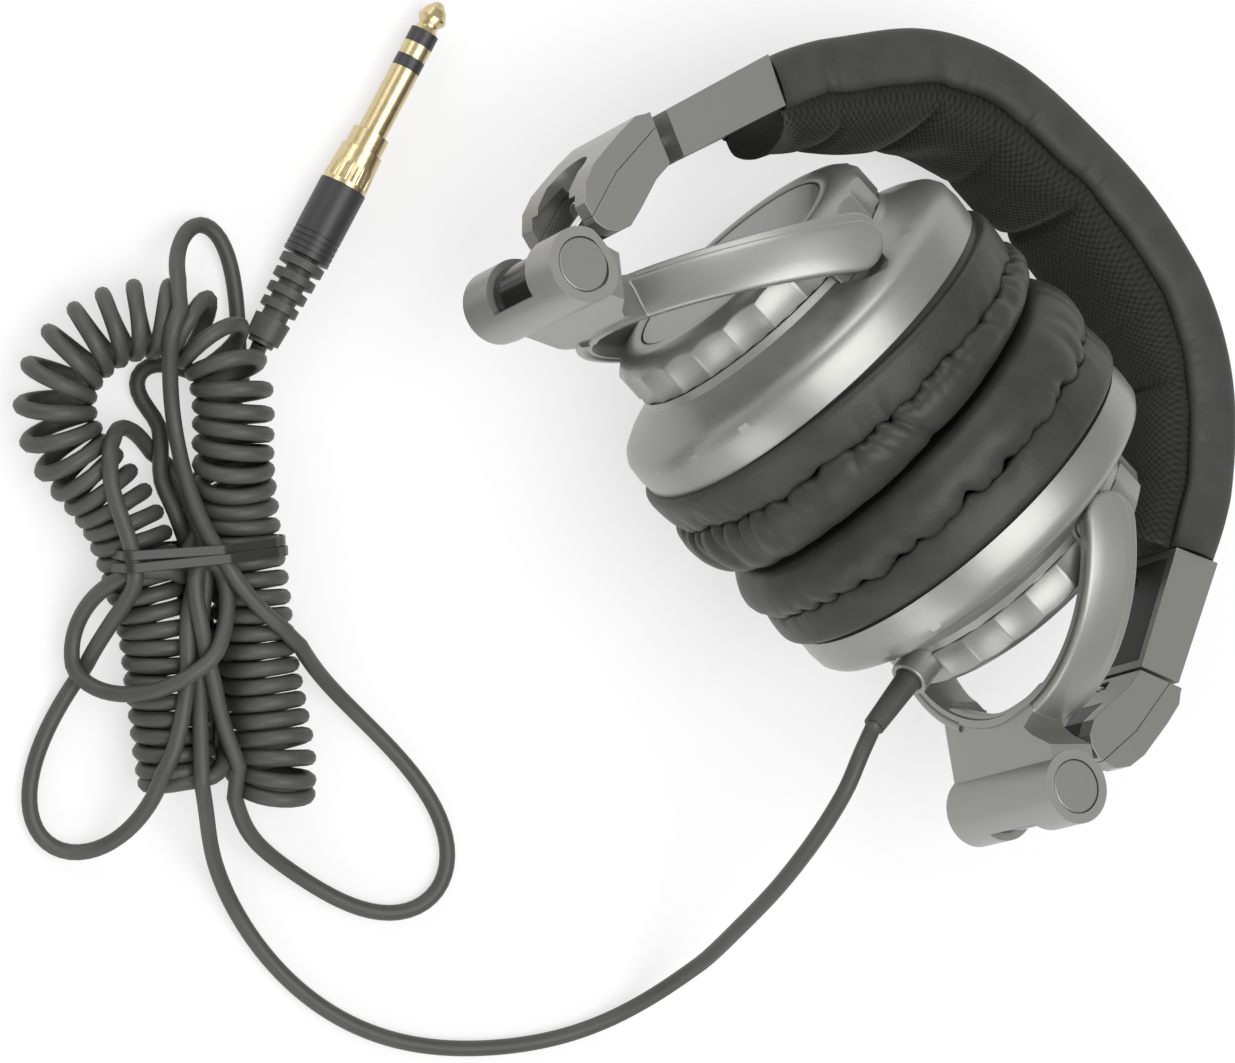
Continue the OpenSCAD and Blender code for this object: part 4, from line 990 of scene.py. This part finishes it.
# %% Outline of a pad
def profile(points, count, power=1.0):
    """A smooth outline through (out, r) points, with count points at even steps."""
    line = through([(a, b, 0) for a, b in points], 0.05)[:, :2]
    far = np.r_[0, np.cumsum(np.linalg.norm(np.diff(line, axis=0), axis=1))]
    at = far[-1] * np.linspace(0, 1, count) ** power
    return np.stack([np.interp(at, far, line[:, k]) for k in range(2)], 1), at

# %% [markdown]
# Gathered leather folds into narrow valleys that start at the seam and fade out over the swell. They could be
# sculpted. As rows of numbers they stay easy to move: each fold is a valley with its own angle, depth, width,
# length and slant. Random folds fill the rest of the ring, and broad soft waves lie between them.

# %% Folds in the leather
# Outlines of the swell and the skirt: (out, r) in mm.
SWELL = [(25.8, 42.6), (26.1, 44.4), (27.0, 45.8), (28.6, 46.7), (31.0, 47.0), (33.6, 46.7), (36.0, 45.7),
         (38.0, 44.0), (39.1, 41.8), (39.35, 39.0), (39.35, 34.0), (39.35, 27.5), (39.0, 23.0), (37.4, 20.2),
         (34.5, 18.6), (31.0, 18.2), (27.0, 18.2)]
SKIRT = [(16.6, 43.3), (17.5, 43.7), (18.35, 44.1), (18.5, 45.2), (18.8, 46.0), (19.8, 46.4), (21.6, 46.4),
         (23.8, 46.2), (25.4, 45.9), (26.3, 45.5), (26.6, 44.9), (26.4, 44.2), (25.9, 43.4)]
# Angle, depth in mm, width in degrees and length in mm of each fold that is plain to see.
FOLDS = {
    "right": [(160, 1.0, 1.2, 12), (166, 1.2, 1.1, 13), (172, 1.1, 1.1, 10), (178, 1.3, 1.2, 14),
              (184, 1.0, 1.1, 11), (190, 1.2, 1.1, 12), (196, 1.0, 1.2, 10), (203, 1.2, 1.3, 13),
              (214.5, 1.5, 2.6, 11), (227, 0.9, 1.1, 9), (230.5, 1.0, 1.0, 11), (234, 0.9, 1.0, 8),
              (239, 1.9, 0.9, 15), (247, 0.6, 0.8, 5), (250, 0.5, 0.8, 6), (255.5, 0.7, 0.8, 5),
              (258, 0.5, 0.7, 4), (263, 0.7, 1.0, 6), (278, 1.1, 1.6, 9), (289, 0.9, 1.5, 9),
              (302, 1.1, 1.6, 10), (313, 0.9, 1.5, 10)],
    "left": [(150, 0.35, 0.8, 3), (153, 0.35, 0.8, 3), (156, 0.4, 0.8, 3), (159, 0.35, 0.8, 3),
             (162, 0.4, 0.8, 3), (170, 0.6, 1.5, 6), (178, 0.8, 1.6, 6), (186, 1.0, 1.8, 7),
             (193, 0.5, 1.2, 5), (201, 0.9, 1.6, 4), (215, 1.2, 2.0, 5), (222, 0.8, 1.5, 6),
             (239, 1.2, 2.2, 5), (253, 1.4, 2.2, 5), (264, 0.7, 2.0, 4), (281, 1.3, 2.0, 6),
             (292, 0.9, 1.6, 9), (303, 0.9, 1.5, 10), (311, 0.8, 1.4, 10), (318, 0.8, 1.3, 10),
             (325, 0.7, 1.3, 9)],
}


# How many random folds and fine wrinkles one pad has, and the largest slant in radians a mm.
RANDOM_FOLDS, WRINKLES, SLANT = 30, 90, 0.008


def all_folds(side, seed):
    """The plain folds of one pad, random ones over the rest of the ring, and fine wrinkles all round.
    Each row is (angle, depth, width, length, slant): angles in radians, depth and length in mm."""
    rng = np.random.default_rng(seed)
    plain = np.array(FOLDS[side])
    start, stop = plain[-1, 0] + 6, plain[0, 0] + 354
    drawn = lambda low, high, number: rng.uniform(low, high, number)
    gaps = drawn(0.55, 1.6, RANDOM_FOLDS)
    middle = start + np.cumsum(gaps) / gaps.sum() * (stop - start)
    other = np.column_stack([middle, drawn(0.35, 1.2, RANDOM_FOLDS), drawn(1.0, 2.0, RANDOM_FOLDS),
                             drawn(4.5, 11, RANDOM_FOLDS)])
    fine = np.column_stack([drawn(0, 360, WRINKLES), drawn(0.12, 0.34, WRINKLES), drawn(0.45, 0.8, WRINKLES),
                            drawn(2.0, 5.5, WRINKLES)])
    rows = np.vstack([plain, other, fine])
    return np.column_stack([np.radians(rows[:, 0]), rows[:, 1], np.radians(rows[:, 2]), rows[:, 3],
                            drawn(-SLANT, SLANT, len(rows))])


# A valley's two bells: the narrow one's share, how much wider the other is, and how much both widen a mm.
NARROW, WIDER, OPENING = 0.6, 2.5, 0.07


def fold_depth(angle, s, rows):
    """The sum over all folds of depth x (NARROW x a narrow bell + the rest x one WIDER times as wide)
    x exp(-(s / length)^2), where s is the distance from the seam."""
    total = np.zeros(np.broadcast(angle, s).shape)
    for middle, depth, width, length, slant in rows:
        off = ((angle - middle - slant * s + np.pi) % TAU - np.pi) / (width * (1 + OPENING * s))
        valley = NARROW * np.exp(-(off**2)) + (1 - NARROW) * np.exp(-((off / WIDER) ** 2))
        total += depth * valley * np.exp(-((s / length) ** 2))
    return total


def soft_waves(angle, s, seed):
    """A few long waves round the ring, each changing slowly across the swell."""
    rng = np.random.default_rng(seed + 50)
    total = 0
    for turns in (3, 5, 8, 13, 21, 34):
        start, slant = rng.uniform(0, TAU), rng.uniform(-0.22, 0.22)
        total = total + np.sin(turns * angle + start + s * slant) / turns**0.55
    return total

# %% [markdown]
# Soft pads give way: these lie a little askew on their cups, are pressed flat by the table, and meet each
# other face to face. A lattice could push them about. Since each of these is a simple rule, the points are
# moved by the rules themselves, and the pads never cut through the table or each other.

# %% Where the pads lie
# Mean and swing, in mm, of the skirt's edge, the seam and the touching face, as they go round from SKEW_TURN.
ASKEW = {"right": ((-0.5, 1.2), (0.5, 1.2), (-0.5, -2.0)), "left": ((0.0, 0.0), (0.1, 0.3), (0.5, 2.0))}
SKEW_TURN = np.radians(324)
# Each pad keeps to its own side of a plane square to MEET_WAY, with room for the right slider to close.
MEET_WAY, MEET = unit(np.array((-0.998, -0.058, -0.011))), {"left": 1.15, "right": 2.3}


def lay_askew(side, out, angle):
    """Shifts out by mean + swing x cos(angle - SKEW_TURN), going from edge to seam to touching face."""
    edge, seam, face = (mean + swing * np.cos(angle - SKEW_TURN) for mean, swing in ASKEW[side])
    first, then = np.clip((out - 18) / 8, 0, 1), np.clip((out - 27) / 11, 0, 1)
    return out + edge * (1 - first) + seam * (first - then) + face * then


def on_pad(side, out, r, angle):
    """Points of a pad in metres; what would sink into the table or the other pad is pressed flat."""
    spot = round_axis(side, lay_askew(side, out, angle), r, angle)
    past = spot @ MEET_WAY - MEET[side]
    past = np.maximum(past, 0) if side == "left" else np.minimum(past, 0)
    spot = spot - past[..., None] * MEET_WAY
    spot[..., 2] = np.maximum(spot[..., 2], TABLE_GAP)
    return spot * MM

# %% [markdown]
# Swell and skirt are two pieces of leather sewn together, so they are two closed rings that meet at a seam.
# One ring would be simpler, but the dark line between them shows that the pad is sewn. The seam wavers with
# the folds, as thread drawn tight does.

# %% The two ear pads
ROUND_POINTS, SWELL_POINTS, SKIRT_POINTS = 900, 80, 44
# The swell's outer face stops at FACE_OUT mm, and the folds fade out from FADE_END mm on, over FADE mm.
FACE_OUT, FADE_END, FADE = 39.35, 34, 14
SEEDS = {"left": 3, "right": 8}


def make_pad(side):
    """The swell and the skirt of one ear pad: each outline is carried round the axis and pushed along its own
    normal by the waves minus the folds, and the seam moves out by three sines plus a share of the folds."""
    seed = SEEDS[side]
    rows = all_folds(side, seed)
    turn = np.linspace(0, TAU, ROUND_POINTS, endpoint=False)
    line, s = profile(SWELL, SWELL_POINTS, 1.15)
    angle, along = np.meshgrid(turn, s, indexing="ij")
    flow = unit(np.gradient(line, axis=0))
    normal = np.stack([-flow[:, 1], flow[:, 0]], 1)
    fade = np.clip((FADE_END - s) / FADE, 0, 1)
    seam = 0.35 * np.sin(9 * angle + seed) + 0.3 * np.sin(17 * angle + 2 * seed) + 0.2 * np.sin(41 * angle)
    seam = seam + 0.35 * fold_depth(angle, 0 * along, rows)
    waves = 0.16 * soft_waves(angle, along, seed) * np.clip(s / 4, 0, 1)
    rise = waves - fold_depth(angle, np.abs(along - 2), rows)
    rise = rise * fade + 0.45 * np.exp(-(((along - 7) / 5) ** 2))
    out = line[:, 0] + rise * normal[:, 0] + seam * np.exp(-((along / 5) ** 2))
    r = line[:, 1] + rise * normal[:, 1]
    touch = FACE_OUT - 0.25 * (1 + np.sin(3 * angle + 1) * 0.5)
    out = np.minimum(out, touch)
    swell = grid_mesh(side + "_pad", on_pad(side, out, r, angle), close_u=True)
    edge, t = profile(SKIRT, SKIRT_POINTS)
    angle, along = np.meshgrid(turn, t, indexing="ij")
    near = np.clip((edge[:, 0] - 21) / 5, 0, 1)
    pull = fold_depth(angle, (t[-1] - along) * 0.9, rows) * 0.45 * near
    ripple = 0.05 * soft_waves(angle, along, seed + 7)
    low = on_pad(side, edge[:, 0] + seam[:, :1] * near, edge[:, 1] - pull + ripple, angle)
    skirt = grid_mesh(side + "_pad_skirt", low, close_u=True)
    for piece in (swell, skirt):
        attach(piece, side + "_cup")
        paint(piece, "ear_leather")
    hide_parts(side + "_ear_pad")
    print(side, "pad points:", len(swell.data.vertices) + len(skirt.data.vertices))


for side in ("left", "right"):
    make_pad(side)

# %% [markdown]
# ## The headband
# A padded band: smooth leather goes over the outside and both edges and is sewn, a little way in, to a
# knitted pad that lies on the head. A Curve modifier could bend two straight strips, but it stretches their
# ends. Both are made by carrying a section along the band's line instead, which is three arcs on each side.

# %% The band's line
# The headband's own origin on the table, where its line starts beside the left block, and that line's arcs:
# the angles in degrees where they begin and end, and their radii, all in mm.
ORIGIN = np.array((0.5, -51, 57.9075))
BAND_START = np.array((75.235, 69.633))
BAND_LEAN, SIDE_END, SHOULDER_END = 16.6, 42.0, 71.5
R_SIDE, R_SHOULDER = 81.0, 57.0


def arc(centre, r, start, stop, step=0.7):
    """Points centre + r x (cos a, sin a), and their angles a in degrees, at even steps."""
    a = np.linspace(start, stop, max(int(np.radians(stop - start) * r / step), 2), endpoint=False)
    return np.column_stack([centre + r * np.stack([np.cos(np.radians(a)), np.sin(np.radians(a))], 1), a])


def band_line():
    """Rows (x, rise, angle, length along) from the left block over the crown to the right block."""
    ray = lambda a: np.array((np.cos(np.radians(a)), np.sin(np.radians(a))))
    c1 = BAND_START - R_SIDE * ray(BAND_LEAN)
    c2 = c1 + (R_SIDE - R_SHOULDER) * ray(SIDE_END)
    r_crown = R_SHOULDER + c2[0] / ray(SHOULDER_END)[0]
    c3 = c2 - (r_crown - R_SHOULDER) * ray(SHOULDER_END)
    first = ray(BAND_LEAN)
    tail = np.array([[BAND_START[0] + 3 * first[1], BAND_START[1] - 3 * first[0], BAND_LEAN]])
    side = np.vstack([tail, arc(c1, R_SIDE, BAND_LEAN + 1.5, SIDE_END),
                      arc(c2, R_SHOULDER, SIDE_END, SHOULDER_END),
                      arc(c3, r_crown, SHOULDER_END, 90), [[0, c3[1] + r_crown, 90]]])
    other = side[-2::-1] * (-1, 1, -1) + (0, 0, 180)
    rows = np.vstack([side, other])
    far = np.r_[0, np.cumsum(np.linalg.norm(np.diff(rows[:, :2], axis=0), axis=1))]
    return np.column_stack([rows, far])


def bell(value, middle, width):
    """A smooth bump of height 1 round middle."""
    return np.exp(-((value - middle) / width) ** 2)


BAND = band_line()
BAND_LONG = BAND[-1, 3]
print("band length mm:", round(BAND_LONG, 1))

# %% [markdown]
# The band isn't the same all along: it narrows towards its end blocks, its foam has two shallow dents, and
# its leather stands a little proud away from the ends. Each could be a key shape of its own. They are small
# rules in one function that both covers go through, so the leather and the knit never part.

# %% Points on the band
# Share of the width lost from NARROW_FROM mm beside the middle, over NARROW_OVER mm.
NARROW_BY, NARROW_FROM, NARROW_OVER = 0.206, 30.8, 35.4
# Dents of the foam: (depth, place along the band, reach) in mm.
DENTS = ((1.9, 179, 17), (0.7, 113, 14))
# The leather's extra fullness in mm, and where it starts and how slowly, from either end.
FULLER, FULL_FROM, FULL_OVER = 0.9, 5, 14
# Section points farther out than this belong to the leather's outer side.
OUTER = -6
# A block's end slants by BLOCK_SLANT and the covers stop BLOCK_GAP mm from it; the table is at TABLE_LOW mm.
BLOCK_SLANT, BLOCK_GAP, TABLE_LOW = 0.21, 0.35, -0.1


def on_band(out, across):
    """Points along the band: the line + out x outward + across x the cup's back direction, in metres.
    The band narrows towards the blocks, and a point below a block's end is lifted on to it."""
    x, rise, angle, far = BAND.T[:, :, None]
    narrow = 1 - NARROW_BY * np.clip((np.abs(x) - NARROW_FROM) / NARROW_OVER, 0, 1)
    soft = sum(depth * bell(far, middle, reach) for depth, middle, reach in DENTS)
    a = np.radians(angle)
    full_in, full_out = ((distance - FULL_FROM) / FULL_OVER for distance in (far, BAND_LONG - far))
    soft = soft - FULLER * np.clip(full_in, 0, 1) * np.clip(full_out, 0, 1) * (out > OUTER)
    x, z = x + (out - soft) * np.cos(a), rise + (out - soft) * np.sin(a)
    lean = np.radians(BAND_LEAN)
    px, pz = np.abs(x) - BAND_START[0], z - BAND_START[1]
    outward, upward = px * np.cos(lean) + pz * np.sin(lean), pz * np.cos(lean) - px * np.sin(lean)
    short = np.maximum(BLOCK_SLANT * outward + BLOCK_GAP - upward, 0)
    x, z = np.sign(x) * (np.abs(x) - short * np.sin(lean)), z + short * np.cos(lean)
    spot = ORIGIN + x[..., None] * (1, 0, 0) + (across * narrow)[..., None] * BACK + z[..., None] * UP
    spot[..., 2] = np.maximum(spot[..., 2], TABLE_LOW)
    return spot * MM

# %% [markdown]
# The leather is stretched over foam and drawn up in small gathers along the seam. A displacement picture
# could raise them, but they are few and have places of their own, so each is a short bell near the seam.

# %% The leather cover
# Groups of gathers: (middle, reach) along the band in mm, and the spacing of gathers within a group.
GATHERS = ((35, 8), (55, 9), (83, 3), (104, 4), (125, 3), (155, 7), (186, 6))
GATHER_STEP, GATHER_PULL = 1.3, 0.05


def make_band_leather():
    """A rounded section, flat outside, with full edges and a lip that turns in to the seam on the inside.
    It shrinks towards its middle by GATHER_PULL x the gathers, and slow sines keep its edges from looking
    ruled."""
    half = [(-11.0, 12.6), (-11.7, 13.9), (-11.5, 15.4), (-10.2, 16.6), (-7.8, 17.15), (-5, 17.2),
            (-2.6, 16.7), (-0.9, 15.3), (-0.15, 12.8), (0.1, 8), (0.2, 3)]
    loop = [(o, -y) for o, y in half] + [(o, y) for o, y in half[::-1]]
    edge = through([(o, y, 0) for o, y in loop], 0.55)[:, :2]
    edge = np.vstack([edge, [(-9.5, 9), (-9.5, 0), (-9.5, -9)]])
    far = BAND[:, 3:4]
    out, across = edge[:, 0], edge[:, 1]
    rng = np.random.default_rng(21)
    near_seam = bell(out, -11.6, 4.2) * (np.abs(across) > 11)
    gather = 0
    for middle, reach in GATHERS:
        for _ in range(int(reach / GATHER_STEP)):
            spot = middle + rng.uniform(-reach, reach)
            height, slant = rng.uniform(0.25, 0.75), rng.uniform(-0.1, 0.1)
            gather = gather + height * bell(far + across * slant, spot, 0.75)
    wave = 0.22 * np.sin(far / 6.1 + 1.3 * np.sin(far / 17)) + 0.12 * np.sin(far / 2.7 + across / 5)
    full = 0.35 * bell(across, 17 * np.sign(across), 4) * np.sin(far / 23 + 0.8)
    shrink = 1 - gather * near_seam * GATHER_PULL
    grid = on_band(out * shrink - near_seam * wave, across * shrink + full * np.sign(across))
    piece = grid_mesh("band_leather", grid, close_v=True, caps=True)
    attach(piece, "headband")
    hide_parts("headband_cover")
    paint(piece, "band_leather")


make_band_leather()

# %% [markdown]
# The knitted pad swells inward and has cross creases where it buckles as the band bends. Cloth simulation was
# weighed here too; creases as bells, each with its own place, slant and depth, keep them where they belong.
# Its UV map is laid in millimetres of cloth, along and across, so that the knit is even.

# %% The knitted pad
# Creases: (place along the band in mm, slant, depth in mm).
CREASES = ((19, 0.1, 1.6), (47, 0.03, 2.8), (68, -0.1, 1.0), (103.5, 0.08, 2.9), (128, -0.15, 0.9),
           (158, 0.5, 3.4), (188, 0.2, 1.8))
PAD_HALF, PAD_DEEP, PAD_LEAST, PAD_SEAM = 13.0, 10.6, 3, -10.9
# The pad's hidden back: three points across, at this distance out.
PAD_BACK, BACK_ACROSS = -10.2, (9.0, 0.0, -9.0)


def make_band_pad():
    """The knitted pad: across = half x sin(turn), and its depth is (deep - creases + lumps) x cos(turn)^0.62,
    with turn going from -90 to 90 degrees."""
    turn = np.linspace(-1, 1, 76)
    across = PAD_HALF * np.sin(turn * np.pi / 2)
    swell = np.cos(turn * np.pi / 2) ** 0.62
    far = BAND[:, 3:4]
    crease = 0
    for middle, slant, depth in CREASES:
        off = far - middle - slant * across
        crease = crease + depth * (0.7 * bell(off, 0, 1.5) + 0.5 * bell(off, 0, 6.0))
    lumps = 0.35 * np.sin(far / 8.3 + across / 6) + 0.25 * np.sin(far / 4.1 - across / 3.3 + 2)
    lumps = lumps + 1.9 * bell(far, 160, 17) - 3.2 * bell(far, BAND_LONG, 9)
    deep = np.maximum(PAD_DEEP - crease + lumps, PAD_LEAST) * swell
    tuck = 0.25 * bell(np.abs(across), PAD_HALF, 1.2) * np.sin(far / 1.6)
    out = PAD_SEAM - deep - tuck
    back = (len(far), len(BACK_ACROSS))
    grid = on_band(np.hstack([out, np.full(back, PAD_BACK)]),
                   np.hstack([np.broadcast_to(across + 0.06 * (across + PAD_HALF), out.shape),
                              np.broadcast_to(BACK_ACROSS, back)]))
    pace = np.hypot(PAD_HALF * np.pi / 2 * np.cos(turn * np.pi / 2), 5) * (turn[1] - turn[0])
    long = np.r_[np.cumsum(pace), 0, 0, 0]
    uv = np.stack(np.broadcast_arrays(far, long), -1) * MM
    piece = grid_mesh("band_pad", grid, close_v=True, caps=True, uv=uv)
    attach(piece, "headband")
    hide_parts("headband_pad")
    paint(piece, "band_mesh")


make_band_pad()
